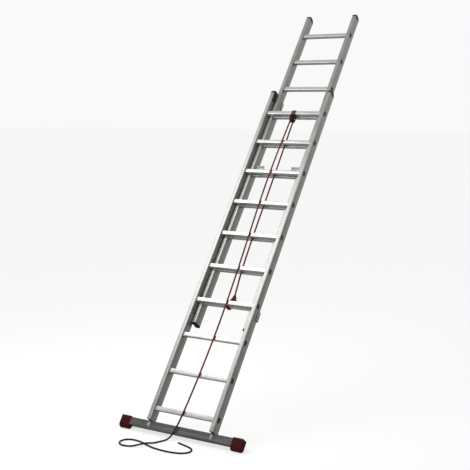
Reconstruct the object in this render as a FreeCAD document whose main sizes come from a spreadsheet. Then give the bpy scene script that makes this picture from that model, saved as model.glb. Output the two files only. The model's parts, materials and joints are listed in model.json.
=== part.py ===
"""Two-section rope-operated extension ladder, leaning as it stands in use.

Every piece is built in the ladder's own upright frame: X runs along the rungs, Y from the
climber's side towards the wall, Z up along the stiles.  LEAN then tips that frame back and
sets the feet on the floor, z = 0.  Sizes are in millimetres.
"""
import FreeCAD, Part
import math
import os

V = FreeCAD.Vector
Placement = FreeCAD.Placement
Rotation = FreeCAD.Rotation
X_AXIS, Y_AXIS, Z_AXIS = V(1, 0, 0), V(0, 1, 0), V(0, 0, 1)
SIDES = (("left", -1), ("right", 1))

doc = FreeCAD.newDocument("ExtensionLadder")

# ---------------------------------------------------------------- driving dimensions
sheet = doc.addObject("Spreadsheet::Sheet", "Sizes")
SIZES = (
    ("lean_angle", 39.0),          # stiles from the vertical
    ("frame_back", 1205.2),        # from the box's middle forward to the stiles' zero point
    ("frame_up", 76.4),            # from the floor up to the stiles' zero point
    ("rung_pitch", 280.0),
    ("rung_count", 10),
    ("first_rung_height", 120.0),
    ("raised_pitches", 3),         # how far the fly section is hauled up
    ("rung_height", 32.0),
    ("rung_depth", 29.0),
    ("rung_radius", 5.0),
    ("rung_wall", 2.0),
    ("rung_setback", 12.5),        # rung's face behind the stile's face
    ("hole_play", 0.1),
    ("stile_width", 30.0),
    ("stile_depth", 78.0),
    ("stile_radius", 4.0),
    ("stile_wall", 2.4),
    ("base_width", 520.0),
    ("base_bottom", 33.0),
    ("base_top", 2833.0),
    ("fly_width", 444.0),
    ("fly_setback", 45.0),
    ("fly_bottom", 792.0),
    ("fly_top", 3668.0),
    ("cap_height", 30.0),
    ("cap_skirt", 26.0),
    ("fly_foot_height", 14.0),
    ("plug_head", 1.5),
    ("plug_lip", 1.5),
    ("plug_length", 16.0),
    ("bar_length", 900.0),
    ("bar_height", 53.0),
    ("bar_depth", 45.0),
    ("bar_setback", 30.0),
    ("bar_top", 30.0),
    ("bar_wall", 3.0),
    ("foot_length", 76.0),
    ("foot_outer", 476.0),         # half the stance, outside to outside
    ("foot_depth", 56.0),
    ("foot_front", 25.0),
    ("foot_top", 36.0),
    ("foot_bottom", -49.0),
    ("sheet_metal", 3.0),
    ("bolt_radius", 4.0),
    ("rivet_radius", 2.4),
    ("rope_diameter", 12.0),
    ("sheave_radius", 26.0),
    ("rope_bend_radius", 21.75),   # sheave centre to rope centre
    ("sheave_width", 18.0),
    ("sheave_height", 2585.0),
    ("sheave_setback", 27.75),
    ("axle_radius", 4.0),
    ("hook_width", 70.0),
    ("hook_rung", 5),              # the fly rung that carries the hooks
    ("hook_left_centre", -150.0),
    ("hook_right_centre", 150.0),
    ("hook_pin_setback", 53.0),
    ("hook_pin_rise", 27.0),       # pin above the rung's middle
    ("hook_pin_radius", 3.0),
    ("hook_reach", 49.0),
    ("hook_parked_angle", 125.0),
)
for row, (alias, value) in enumerate(SIZES, 1):
    sheet.set(f"A{row}", alias)
    sheet.set(f"B{row}", str(value))
    sheet.setAlias(f"B{row}", alias)
doc.recompute()


def size(alias):
    """The value in the sheet's cell of that name."""
    return float(sheet.get(alias))


LEAN = Placement(V(0, -size("frame_back"), size("frame_up")), Rotation(X_AXIS, -size("lean_angle")))
PITCH = size("rung_pitch")
COUNT = int(size("rung_count"))
FLY_RISE = size("raised_pitches") * PITCH
BASE_HALF, FLY_HALF = size("base_width") / 2, size("fly_width") / 2
STILE = size("stile_width")

parts = []


def bind(feature, **cells):
    """Set properties: text is an expression on the sheet, anything else a plain value."""
    for name, value in cells.items():
        path = name.replace("__", ".")
        if isinstance(value, str):
            feature.setExpression(path, value)
        else:
            setattr(feature, path, value)
    return feature


def sub_part(feature, label, at=Placement()):
    """Name a finished sub-part and lean it with the ladder."""
    feature.Label = label
    feature.Placement = LEAN * at
    parts.append(feature)
    return feature


def box(name, at, dims):
    """A box from its low corner; each number may be an expression on the sheet."""
    feature = doc.addObject("Part::Box", name)
    for prop, value in zip(("Length", "Width", "Height"), dims):
        bind(feature, **{prop: value})
    for axis, value in zip("xyz", at):
        feature.setExpression(f"Placement.Base.{axis}", str(value))
    return feature


def rod(name, at, axis, radius, length):
    """A cylinder that starts at a point and runs along an axis."""
    feature = doc.addObject("Part::Cylinder", name)
    bind(feature, Radius=radius, Height=length)
    feature.Placement = Placement(V(*at), Rotation(Z_AXIS, axis))
    return feature


def cut(name, base, *tools):
    """One solid less the others."""
    feature = doc.addObject("Part::Cut", name)
    feature.Base = base
    feature.Tool = tools[0] if len(tools) == 1 else group(name + "_tools", tools)
    return feature


def fuse(name, *shapes):
    """Solids joined into one."""
    feature = doc.addObject("Part::MultiFuse", name)
    feature.Shapes = list(shapes)
    feature.Refine = True
    return feature


def group(name, shapes):
    """Separate solids kept together."""
    feature = doc.addObject("Part::Compound", name)
    feature.Links = list(shapes)
    return feature


def rounded(name, solid, radius, wanted):
    """Fillet the edges for which wanted(edge) is true."""
    doc.recompute()
    feature = doc.addObject("Part::Fillet", name)
    feature.Base = solid
    edges = [i for i, e in enumerate(solid.Shape.Edges, 1) if wanted(e)]
    feature.Edges = [(i, radius, radius) for i in edges]
    return feature


def runs_along(axis, keep=lambda point: True):
    """A test for straight edges along an axis whose middle passes keep."""
    def test(edge):
        if len(edge.Vertexes) < 2:
            return False
        line = edge.Vertexes[1].Point - edge.Vertexes[0].Point
        along = abs(line.dot(axis)) > 0.999 * edge.Length
        return along and keep(edge.CenterOfMass)
    return test


# ---------------------------------------------------------------- extruded sections
def corner_outline(width, depth, radius):
    """Lines and arcs of a rounded rectangle centred on the origin."""
    half_w, half_d = width / 2, depth / 2
    edges = []
    for quarter in range(4):
        swap = quarter % 2
        along, out = (half_d, half_w) if swap else (half_w, half_d)
        turn = Rotation(Z_AXIS, 90 * quarter)
        start = turn.multVec(V(along - radius, -out, 0))
        begin = turn.multVec(V(-along + radius, -out, 0))
        edges.append(Part.LineSegment(begin, start))
        centre = turn.multVec(V(along - radius, -out + radius, 0))
        circle = Part.Circle(centre, Z_AXIS, radius)
        angle = math.radians(90 * quarter)
        edges.append(Part.ArcOfCircle(circle, angle - math.pi / 2, angle))
    return edges


def section(name, outlines, placement=Placement()):
    """A sketch that holds closed outlines."""
    sketch = doc.addObject("Sketcher::SketchObject", name)
    for edges in outlines:
        sketch.addGeometry(edges, False)
    sketch.Placement = placement
    return sketch


def extrusion(name, sketch, direction, length):
    """A section pulled along a direction."""
    feature = doc.addObject("Part::Extrusion", name)
    feature.Base = sketch
    feature.DirMode = "Custom"
    feature.Dir = direction
    bind(feature, LengthFwd=length)
    feature.Solid = True
    return feature


def tread_outline():
    """The rung's section: rounded below, with grip ribs across the tread."""
    half_d, half_h = size("rung_depth") / 2, size("rung_height") / 2
    radius, ribs, rib_depth = size("rung_radius"), 5, 0.9
    lower = corner_outline(size("rung_depth"), size("rung_height"), radius)
    kept = lower[:4]                                   # bottom, corner, back, corner
    left = lower[6:]                                   # front and its lower corner
    flat = 2 * (half_d - radius)
    tooth = flat / (2 * ribs - 1)
    corners = [V(half_d - radius, half_h, 0)]
    for index in range(ribs - 1):
        x = half_d - radius - (2 * index + 1) * tooth
        corners += [V(x, half_h, 0), V(x, half_h - rib_depth, 0)]
        corners += [V(x - tooth, half_h - rib_depth, 0), V(x - tooth, half_h, 0)]
    corners.append(V(-half_d + radius, half_h, 0))
    ribbed = [Part.LineSegment(a, b) for a, b in zip(corners, corners[1:])]
    return kept + ribbed + [lower[5]] + left


STILE_SECTION = section("stile_section", (
    corner_outline(STILE, size("stile_depth"), size("stile_radius")),
    corner_outline(STILE - 2 * size("stile_wall"), size("stile_depth") - 2 * size("stile_wall"),
                   size("stile_radius") - size("stile_wall") + 0.4)))
RUNG_SECTION = section("rung_section", (
    tread_outline(),
    corner_outline(size("rung_depth") - 2 * size("rung_wall"),
                   size("rung_height") - 2 * size("rung_wall") - 1.0,
                   size("rung_radius") - size("rung_wall"))),
    Placement(V(), Rotation(V(1, 1, 1), 120)))


def rung_heights(rise):
    """Heights of one section's rungs, lowest first."""
    return [size("first_rung_height") + rise + k * PITCH for k in range(COUNT)]


# ---------------------------------------------------------------- stiles, rungs, plugs, caps
def ladder_section(name, half_width, setback, rise, bottom, top):
    """Two stiles, their rungs and the plugs in the rung ends."""
    rung_y = setback + size("rung_setback")
    holes = []
    for k, height in enumerate(rung_heights(rise), 1):
        holes.append(box(f"{name}_hole_{k}",
                         (-half_width - 5, f"{rung_y} - Sizes.hole_play",
                          f"{height} - Sizes.rung_height / 2 - Sizes.hole_play"),
                         (2 * half_width + 10, "Sizes.rung_depth + 2 * Sizes.hole_play",
                          "Sizes.rung_height + 2 * Sizes.hole_play")))
    rung_holes = group(f"{name}_rung_holes", holes)
    for side, sign in SIDES:
        rail = extrusion(f"{name}_rail_{side}", STILE_SECTION, Z_AXIS,
                         f"Sizes.{name}_top - Sizes.{name}_bottom")
        rail.Placement = Placement(V(sign * (half_width - STILE / 2),
                                     setback + size("stile_depth") / 2, bottom), Rotation())
        sub_part(cut(f"{name}_stile_cut_{side}", rail, rung_holes), f"{name}_stile_{side}")
    plugs = []
    for k, height in enumerate(rung_heights(rise), 1):
        middle = V(-half_width, rung_y + size("rung_depth") / 2, height)
        tube = extrusion(f"{name}_tube_{k}", RUNG_SECTION, X_AXIS, f"Sizes.{name}_width")
        sub_part(tube, f"{name}_rung_{k:02d}", Placement(middle, Rotation()))
        for side, sign in SIDES:
            lip, head = size("plug_lip"), size("plug_head")
            outer = sign * half_width
            face = box(f"{name}_plug_face_{side}_{k}",
                       (outer if sign > 0 else outer - head, rung_y - lip,
                        height - size("rung_height") / 2 - lip),
                       ("Sizes.plug_head", "Sizes.rung_depth + 2 * Sizes.plug_lip",
                        "Sizes.rung_height + 2 * Sizes.plug_lip"))
            length = size("plug_length")
            stem = box(f"{name}_plug_stem_{side}_{k}",
                       (outer - length if sign > 0 else outer, f"{rung_y} + Sizes.rung_wall + 1.5",
                        f"{height} - Sizes.rung_height / 2 + Sizes.rung_wall + 2"),
                       (length, "Sizes.rung_depth - 2 * Sizes.rung_wall - 3",
                        "Sizes.rung_height - 2 * Sizes.rung_wall - 4"))
            plugs.append(fuse(f"{name}_plug_{side}_{k}", face, stem))
    sub_part(group(f"{name}_plugs", plugs), f"{name}_rung_plugs")


ladder_section("base", BASE_HALF, 0, 0, size("base_bottom"), size("base_top"))
ladder_section("fly", FLY_HALF, size("fly_setback"), FLY_RISE, size("fly_bottom"), size("fly_top"))


def arched_cap(name, x_middle, setback, top):
    """A moulded cap with an arched crown and a spigot inside the stile."""
    crown = box(f"{name}_crown",
                (x_middle - STILE / 2 - 1, f"{setback} - 1", top),
                ("Sizes.stile_width + 2", "Sizes.stile_depth + 2", "Sizes.cap_height"))
    over = runs_along(X_AXIS, lambda p: p.z > top + 1)
    arch = rounded(f"{name}_arch", crown, size("cap_height") - 2, over)
    soft = rounded(f"{name}_soft", arch, 2.0, runs_along(Z_AXIS, lambda p: True))
    spigot = box(f"{name}_spigot",
                 (f"{x_middle} - Sizes.stile_width / 2 + Sizes.stile_wall + 0.4",
                  f"{setback} + Sizes.stile_wall + 0.4", f"{top} - Sizes.cap_skirt"),
                 ("Sizes.stile_width - 2 * Sizes.stile_wall - 0.8",
                  "Sizes.stile_depth - 2 * Sizes.stile_wall - 0.8", "Sizes.cap_skirt"))
    eased = rounded(f"{name}_eased", spigot, 2.5, runs_along(Z_AXIS))
    sub_part(fuse(f"{name}_fused", soft, eased), name)


def stile_foot(name, x_middle):
    """A plain rubber shoe under a fly stile."""
    drop = size("fly_foot_height")
    bottom, setback = size("fly_bottom"), size("fly_setback")
    shoe = box(f"{name}_shoe", (x_middle - STILE / 2 - 1, setback - 1, bottom - drop),
               ("Sizes.stile_width + 2", "Sizes.stile_depth + 2", "Sizes.fly_foot_height"))
    soft = rounded(f"{name}_soft", shoe, 3.0, runs_along(Z_AXIS))
    spigot = box(f"{name}_spigot",
                 (f"{x_middle} - Sizes.stile_width / 2 + Sizes.stile_wall + 0.4",
                  f"{setback} + Sizes.stile_wall + 0.4", bottom),
                 ("Sizes.stile_width - 2 * Sizes.stile_wall - 0.8",
                  "Sizes.stile_depth - 2 * Sizes.stile_wall - 0.8", "Sizes.cap_skirt"))
    eased = rounded(f"{name}_eased", spigot, 2.5, runs_along(Z_AXIS))
    sub_part(fuse(f"{name}_fused", soft, eased), name)


for side, sign in SIDES:
    arched_cap(f"base_top_cap_{side}", sign * (BASE_HALF - STILE / 2), 0, size("base_top"))
    arched_cap(f"fly_top_cap_{side}", sign * (FLY_HALF - STILE / 2), size("fly_setback"),
               size("fly_top"))
    stile_foot(f"fly_foot_{side}", sign * (FLY_HALF - STILE / 2))


# ---------------------------------------------------------------- sliding guides
def slab(name, sign, x_span, y_span, z_span):
    """A box given by its spans on the right-hand side, mirrored for the left."""
    low_x = x_span[0] if sign > 0 else -x_span[1]
    return box(name, (low_x, y_span[0], z_span[0]),
               (x_span[1] - x_span[0], y_span[1] - y_span[0], z_span[1] - z_span[0]))


METAL = size("sheet_metal")
STILE_BACK = size("stile_depth")
FLY_BACK = size("fly_setback") + size("stile_depth")
BASE_GUIDE_SPAN = (2746.0, 2812.0)
FLY_GUIDE_SPAN = (866.0, 938.0)
BASE_GAP, FLY_GAP = 3.0, 2.4
RIVET_INSET = 15.0
BASE_RIVETS = [BASE_GUIDE_SPAN[0] + RIVET_INSET, BASE_GUIDE_SPAN[1] - RIVET_INSET]
FLY_RIVETS = [FLY_GUIDE_SPAN[0] + RIVET_INSET, FLY_GUIDE_SPAN[1] - RIVET_INSET]
STILE_MIDDLE = BASE_HALF - STILE / 2
RIVET_MIDDLE_Y = FLY_BACK - 20.0


def rivet_hole(name, at, axis, depth):
    """A clearance hole for a rivet's shank, drilled from both sides of a plate."""
    start = V(*at) - axis * depth
    return rod(name, tuple(start), axis, "Sizes.rivet_radius + 0.05", 2 * depth)

pads = []
for side, sign in SIDES:
    # round the back of the fly stile, fixed to the back of the base stile
    side_x = FLY_HALF + BASE_GAP
    back_y = FLY_BACK + FLY_GAP
    lip_x = FLY_HALF - STILE - BASE_GAP
    flange = slab(f"base_guide_flange_{side}", sign, (side_x, BASE_HALF - 4),
                  (STILE_BACK, STILE_BACK + METAL), BASE_GUIDE_SPAN)
    cheek = slab(f"base_guide_cheek_{side}", sign, (side_x, side_x + METAL),
                 (STILE_BACK, back_y + METAL), BASE_GUIDE_SPAN)
    rear = slab(f"base_guide_rear_{side}", sign, (lip_x - METAL, side_x + METAL),
                (back_y, back_y + METAL), BASE_GUIDE_SPAN)
    lip = slab(f"base_guide_lip_{side}", sign, (lip_x - METAL, lip_x),
               (back_y - 24, back_y + METAL), BASE_GUIDE_SPAN)
    holes = [rivet_hole(f"base_guide_hole_{side}_{n}", (sign * STILE_MIDDLE, STILE_BACK, z),
                        Y_AXIS, 5.0) for n, z in enumerate(BASE_RIVETS, 1)]
    blank = fuse(f"base_guide_blank_{side}", flange, cheek, rear, lip)
    sub_part(cut(f"base_guide_cut_{side}", blank, *holes), f"base_guide_{side}")
    # round the back of the base stile, fixed to the outside of the fly stile
    wrap_x = BASE_HALF + BASE_GAP
    wrap_y = STILE_BACK + FLY_GAP
    foot = slab(f"fly_guide_flange_{side}", sign, (FLY_HALF, FLY_HALF + METAL),
                (wrap_y, FLY_BACK - 6), FLY_GUIDE_SPAN)
    web = slab(f"fly_guide_web_{side}", sign, (FLY_HALF, wrap_x + METAL),
               (wrap_y, wrap_y + METAL), FLY_GUIDE_SPAN)
    hook = slab(f"fly_guide_hook_{side}", sign, (wrap_x, wrap_x + METAL),
                (wrap_y - 30, wrap_y + METAL), FLY_GUIDE_SPAN)
    holes = [rivet_hole(f"fly_guide_hole_{side}_{n}", (sign * FLY_HALF, RIVET_MIDDLE_Y, z),
                        X_AXIS, 5.0) for n, z in enumerate(FLY_RIVETS, 1)]
    blank = fuse(f"fly_guide_blank_{side}", foot, web, hook)
    sub_part(cut(f"fly_guide_cut_{side}", blank, *holes), f"fly_guide_{side}")
    pads.append(slab(f"slide_pad_{side}", sign, (FLY_HALF + 2.5, BASE_HALF - STILE),
                     (3.0, STILE_BACK - 1.0), (2764.0, size("base_top") - 1.0)))
sub_part(group("slide_pads", pads), "base_slide_pads")


def rivet(name, at, axis, grip):
    """A domed rivet: a shank through the grip and a head on the near side."""
    head = 1.6
    back = V(*at) - axis * head
    dome = rod(f"{name}_head", tuple(back), axis, "Sizes.rivet_radius * 2", head)
    shank = rod(f"{name}_shank", at, axis, "Sizes.rivet_radius", grip)
    return fuse(name, dome, shank)


# ---------------------------------------------------------------- stabiliser bar and feet
bar_span = ("-Sizes.bar_length / 2", "Sizes.bar_setback", "Sizes.bar_top - Sizes.bar_height")
bar_outer = box("bar_outer", bar_span, ("Sizes.bar_length", "Sizes.bar_depth", "Sizes.bar_height"))
bar_round = rounded("bar_round", bar_outer, 3.0, runs_along(X_AXIS))
bar_inner = box("bar_inner",
                ("-Sizes.bar_length / 2 - 1", "Sizes.bar_setback + Sizes.bar_wall",
                 "Sizes.bar_top - Sizes.bar_height + Sizes.bar_wall"),
                ("Sizes.bar_length + 2", "Sizes.bar_depth - 2 * Sizes.bar_wall",
                 "Sizes.bar_height - 2 * Sizes.bar_wall"))
BAR_FRONT = size("bar_setback")
BAR_BACK = BAR_FRONT + size("bar_depth")
BAR_BOLT_Z, STILE_BOLT_Z = 4.0, 70.0
bolt_hole = "Sizes.bolt_radius + 0.25"
bar_holes = [rod(f"bar_hole_{side}", (sign * STILE_MIDDLE, BAR_FRONT - 5, BAR_BOLT_Z), Y_AXIS,
                 bolt_hole, size("bar_depth") + 10) for side, sign in SIDES]
sub_part(cut("bar_cut", bar_round, bar_inner, *bar_holes), "stabiliser_bar")

for side, sign in SIDES:
    inner_x = size("foot_outer") - size("foot_length")
    low, high = size("foot_bottom"), size("foot_top")
    block = slab(f"foot_block_{side}", sign, (inner_x, size("foot_outer")),
                 (size("foot_front"), size("foot_front") + size("foot_depth")), (low, high))
    sole = rounded(f"foot_sole_{side}", block, size("foot_depth") / 2 - 4,
                   runs_along(X_AXIS, lambda p: p.z < low + 1))
    brow = rounded(f"foot_brow_{side}", sole, 6.0, runs_along(X_AXIS, lambda p: p.z > high - 1))
    ground = doc.addObject("Part::Box", f"ground_{side}")
    ground.Length, ground.Width, ground.Height = 1200, 400, 100
    ground.Placement = LEAN.inverse() * Placement(V(-600, -size("frame_back") - 200, -100),
                                                  Rotation())
    play = 0.3
    socket = slab(f"foot_socket_{side}", sign,
                  (inner_x - 1, size("bar_length") / 2 + play),
                  (BAR_FRONT - play, BAR_BACK + play),
                  (size("bar_top") - size("bar_height") - play, size("bar_top") + play))
    sub_part(cut(f"foot_cut_{side}", brow, socket, ground), f"stabiliser_foot_{side}")

bolts, nuts = [], []
for side, sign in SIDES:
    plate_w = 22.0
    span_x = (STILE_MIDDLE - plate_w / 2, STILE_MIDDLE + plate_w / 2)
    front = slab(f"bracket_front_{side}", sign, span_x, (BAR_FRONT - METAL, BAR_FRONT),
                 (-16.0, size("base_bottom")))
    seat = slab(f"bracket_seat_{side}", sign, span_x, (BAR_FRONT - METAL, BAR_BACK - 2),
                (size("bar_top"), size("base_bottom")))
    tongue = slab(f"bracket_tongue_{side}", sign, span_x, (BAR_FRONT + 6, BAR_FRONT + 6 + METAL),
                  (size("bar_top"), 96.0))
    x = sign * STILE_MIDDLE
    lower_hole = rod(f"bracket_hole_low_{side}", (x, BAR_FRONT - 10, BAR_BOLT_Z), Y_AXIS,
                     bolt_hole, 20)
    upper_hole = rod(f"bracket_hole_high_{side}", (x, BAR_FRONT - 10, STILE_BOLT_Z), Y_AXIS,
                     bolt_hole, 40)
    blank = fuse(f"bracket_blank_{side}", front, seat, tongue)
    sub_part(cut(f"bracket_cut_{side}", blank, lower_hole, upper_hole), f"bar_bracket_{side}")
    head, nut_height = 5.5, 6.5
    for place, near, far, z in (("bar", BAR_FRONT - METAL, BAR_BACK, BAR_BOLT_Z),
                                ("stile", 0.0, STILE_BACK, STILE_BOLT_Z)):
        hexagon = doc.addObject("Part::Prism", f"{place}_bolt_head_{side}")
        hexagon.Polygon, hexagon.Circumradius, hexagon.Height = 6, 7.5, head
        hexagon.Placement = Placement(V(x, near - head, z), Rotation(Z_AXIS, Y_AXIS))
        shank = rod(f"{place}_bolt_shank_{side}", (x, near, z), Y_AXIS, "Sizes.bolt_radius",
                    far - near + nut_height + 2)
        bolts.append(fuse(f"{place}_bolt_{side}", hexagon, shank))
        blank_nut = doc.addObject("Part::Prism", f"{place}_nut_blank_{side}")
        blank_nut.Polygon, blank_nut.Circumradius, blank_nut.Height = 6, 7.5, nut_height
        blank_nut.Placement = Placement(V(x, far, z), Rotation(Z_AXIS, Y_AXIS))
        thread = rod(f"{place}_nut_bore_{side}", (x, far - 1, z), Y_AXIS,
                     "Sizes.bolt_radius + 0.02", nut_height + 2)
        nuts.append(cut(f"{place}_nut_{side}", blank_nut, thread))
sub_part(group("bar_bolts", bolts), "bar_bolts")
sub_part(group("bar_nuts", nuts), "bar_nuts")

# the stile bolts pass through the stiles' front and back walls
for side, sign in SIDES:
    drilled = rod(f"stile_drill_{side}", (sign * STILE_MIDDLE, -5, STILE_BOLT_Z), Y_AXIS,
                  bolt_hole, size("stile_depth") + 10)
    doc.getObject("base_rung_holes").Links += [drilled]

# ---------------------------------------------------------------- pulley on the top base rung
SHEAVE_Y, SHEAVE_Z = size("sheave_setback"), size("sheave_height")
ROPE_R = size("rope_diameter") / 2
TOP_RUNG_Z = rung_heights(0)[-1]
rung_low, rung_high = TOP_RUNG_Z - size("rung_height") / 2, TOP_RUNG_Z + size("rung_height") / 2
rung_front = size("rung_setback")
rung_back = rung_front + size("rung_depth")
strap_gap, strap_metal = 0.3, 2.2
band = box("strap_band",
           (-17, rung_front - strap_gap - strap_metal, rung_low - strap_gap - strap_metal),
           (34, rung_back - rung_front + 2 * (strap_gap + strap_metal),
            rung_high - rung_low + 2 * (strap_gap + strap_metal)))
window = box("strap_window", (-18, rung_front - strap_gap, rung_low - strap_gap),
             (36, rung_back - rung_front + 2 * strap_gap, rung_high - rung_low + 2 * strap_gap))
ring = cut("strap_ring", band, window)
ears = [slab(f"strap_ear_{side}", sign, (14.8, 17.0), (SHEAVE_Y - 12, SHEAVE_Y + 12),
             (SHEAVE_Z - 12, rung_low - strap_gap)) for side, sign in SIDES]
axle_bore = rod("strap_bore", (-30, SHEAVE_Y, SHEAVE_Z), X_AXIS, "Sizes.axle_radius + 0.05", 60)
sub_part(cut("strap_cut", fuse("strap_blank", ring, *ears), axle_bore), "pulley_strap")

for side, sign in SIDES:
    near, far = 10.2, 14.6
    disc = rod(f"cheek_disc_{side}", (sign * near, SHEAVE_Y, SHEAVE_Z), X_AXIS * sign, 27.0,
               far - near)
    upper = slab(f"cheek_upper_{side}", sign, (near, far), (SHEAVE_Y - 27, SHEAVE_Y + 27),
                 (SHEAVE_Z, rung_low - strap_gap - strap_metal))
    bore = rod(f"cheek_bore_{side}", (sign * near - 10, SHEAVE_Y, SHEAVE_Z), X_AXIS,
               "Sizes.axle_radius + 0.05", 20)
    sub_part(cut(f"cheek_cut_{side}", fuse(f"cheek_blank_{side}", disc, upper), bore),
             f"pulley_cheek_{side}")

sheave_blank = rod("sheave_blank", (-size("sheave_width") / 2, SHEAVE_Y, SHEAVE_Z), X_AXIS,
                   "Sizes.sheave_radius", "Sizes.sheave_width")
groove = doc.addObject("Part::Torus", "sheave_groove")
bind(groove, Radius1="Sizes.rope_bend_radius", Radius2="Sizes.rope_diameter / 2 + 0.6")
groove.Placement = Placement(V(0, SHEAVE_Y, SHEAVE_Z), Rotation(Z_AXIS, X_AXIS))
mouth_ring = rod("sheave_mouth_disc", (-ROPE_R - 0.6, SHEAVE_Y, SHEAVE_Z), X_AXIS, 60.0,
                 2 * (ROPE_R + 0.6))
mouth_core = rod("sheave_mouth_core", (-ROPE_R - 1, SHEAVE_Y, SHEAVE_Z), X_AXIS,
                 "Sizes.rope_bend_radius", 2 * (ROPE_R + 1))
mouth = cut("sheave_mouth", mouth_ring, mouth_core)
sheave_bore = rod("sheave_bore", (-20, SHEAVE_Y, SHEAVE_Z), X_AXIS, "Sizes.axle_radius + 0.05", 40)
sub_part(cut("sheave_cut", sheave_blank, groove, mouth, sheave_bore), "pulley_sheave")

axle_shank = rod("axle_shank", (-17.2, SHEAVE_Y, SHEAVE_Z), X_AXIS, "Sizes.axle_radius", 34.4)
axle_heads = [rod(f"axle_head_{side}", (sign * 17.2, SHEAVE_Y, SHEAVE_Z), X_AXIS * sign, 6.5, 3.0)
              for side, sign in SIDES]
sub_part(fuse("axle_fused", axle_shank, *axle_heads), "pulley_axle")

# ---------------------------------------------------------------- rung hooks on the fly section
HOOK_RUNG_Z = rung_heights(FLY_RISE)[int(size("hook_rung")) - 1]
PIN_Y, PIN_Z = size("hook_pin_setback"), HOOK_RUNG_Z + size("hook_pin_rise")
FLY_RUNG_FRONT = size("fly_setback") + size("rung_setback")
HOOK_HALF = size("hook_width") / 2
ear_metal, saddle_metal, reach = 2.5, 2.5, size("hook_reach")
half_rung = size("rung_height") / 2
pins = []
for side, centre in (("left", size("hook_left_centre")), ("right", size("hook_right_centre"))):
    left_x = centre - HOOK_HALF
    face = box(f"hook_face_{side}", (left_x, FLY_RUNG_FRONT - saddle_metal - 0.1,
                                     HOOK_RUNG_Z - half_rung - 4),
               ("Sizes.hook_width", saddle_metal, "Sizes.rung_height + 8"))
    crown = box(f"hook_crown_{side}", (left_x, FLY_RUNG_FRONT - saddle_metal - 0.1,
                                       HOOK_RUNG_Z + half_rung + 1.5),
                ("Sizes.hook_width", 24, saddle_metal))
    sill = box(f"hook_sill_{side}", (left_x, FLY_RUNG_FRONT - saddle_metal - 0.1,
                                     HOOK_RUNG_Z - half_rung - 4),
               ("Sizes.hook_width", 24, saddle_metal))
    cheeks = [box(f"hook_ear_{side}_{n}", (x, 46.5, HOOK_RUNG_Z - 4),
                  (ear_metal, FLY_RUNG_FRONT - 46.5 - 0.1, size("hook_pin_rise") + 12))
              for n, x in enumerate((left_x, left_x + 2 * HOOK_HALF - ear_metal), 1)]
    bore = rod(f"hook_bore_{side}", (left_x - 5, PIN_Y, PIN_Z), X_AXIS,
               "Sizes.hook_pin_radius + 0.03", 2 * HOOK_HALF + 10)
    blank = fuse(f"hook_blank_{side}", face, crown, sill, *cheeks)
    sub_part(cut(f"hook_cut_{side}", blank, bore), f"hook_bracket_{side}")
    # the tongue is drawn hooked over a rung, about its own pin, then swung to its parked angle
    width = 2 * (HOOK_HALF - ear_metal - 0.5)
    hub = rod(f"tongue_hub_{side}", (-width / 2, 0, 0), X_AXIS, 6.0, width)
    arm = box(f"tongue_arm_{side}", (-width / 2, -reach, -6.0), (width, reach, 4.0))
    nose = box(f"tongue_nose_{side}", (-width / 2, -reach, -22.0), (width, 4.5, 20.0))
    webs = []
    for n, x in enumerate((-width / 2, width / 2 - 3.5), 1):
        web = box(f"tongue_web_{side}_{n}", (x, -reach, -22.0), (3.5, reach, 27.0))
        relief = box(f"tongue_relief_{side}_{n}", (x - 1, -reach + 7.0, -30.0),
                     (5.5, reach, 24.0))
        shaped = cut(f"tongue_sickle_{side}_{n}", web, relief)
        webs.append(rounded(f"tongue_crest_{side}_{n}", shaped, 14.0,
                            runs_along(X_AXIS, lambda p: p.y < -reach + 1 and p.z > 4)))
    pin_bore = rod(f"tongue_bore_{side}", (-width, 0, 0), X_AXIS, "Sizes.hook_pin_radius + 0.05",
                   2 * width)
    tongue = cut(f"tongue_cut_{side}", fuse(f"tongue_blank_{side}", hub, arm, nose, *webs), pin_bore)
    sub_part(tongue, f"hook_tongue_{side}",
             Placement(V(centre, PIN_Y, PIN_Z), Rotation(X_AXIS, -size("hook_parked_angle"))))
    pins.append(rod(f"hook_pin_{side}", (left_x - 2, PIN_Y, PIN_Z), X_AXIS,
                    "Sizes.hook_pin_radius", 2 * HOOK_HALF + 4))
sub_part(group("hook_pins", pins), "hook_pins")

# ---------------------------------------------------------------- rivets
base_rivets, fly_rivets = [], []
for side, sign in SIDES:
    for n, z in enumerate(BASE_RIVETS, 1):
        base_rivets.append(rivet(f"base_rivet_{side}_{n}",
                                 (sign * STILE_MIDDLE, STILE_BACK + METAL, z), -Y_AXIS,
                                 METAL + 3.5))
        doc.getObject("base_rung_holes").Links += [
            rivet_hole(f"base_rivet_hole_{side}_{n}", (sign * STILE_MIDDLE, STILE_BACK, z),
                       Y_AXIS, 6.0)]
    for n, z in enumerate(FLY_RIVETS, 1):
        fly_rivets.append(rivet(f"fly_rivet_{side}_{n}",
                                (sign * (FLY_HALF + METAL), RIVET_MIDDLE_Y, z), X_AXIS * -sign,
                                METAL + 3.5))
        doc.getObject("fly_rung_holes").Links += [
            rivet_hole(f"fly_rivet_hole_{side}_{n}", (sign * FLY_HALF, RIVET_MIDDLE_Y, z),
                       X_AXIS, 6.0)]
sub_part(group("base_rivets_group", base_rivets), "base_rivets")
sub_part(group("fly_rivets_group", fly_rivets), "fly_rivets")


# ---------------------------------------------------------------- rope
def upright(x, depth, height):
    """A point of the ladder's upright frame, in the leaning frame."""
    return LEAN.multVec(V(x, depth, height))


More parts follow.
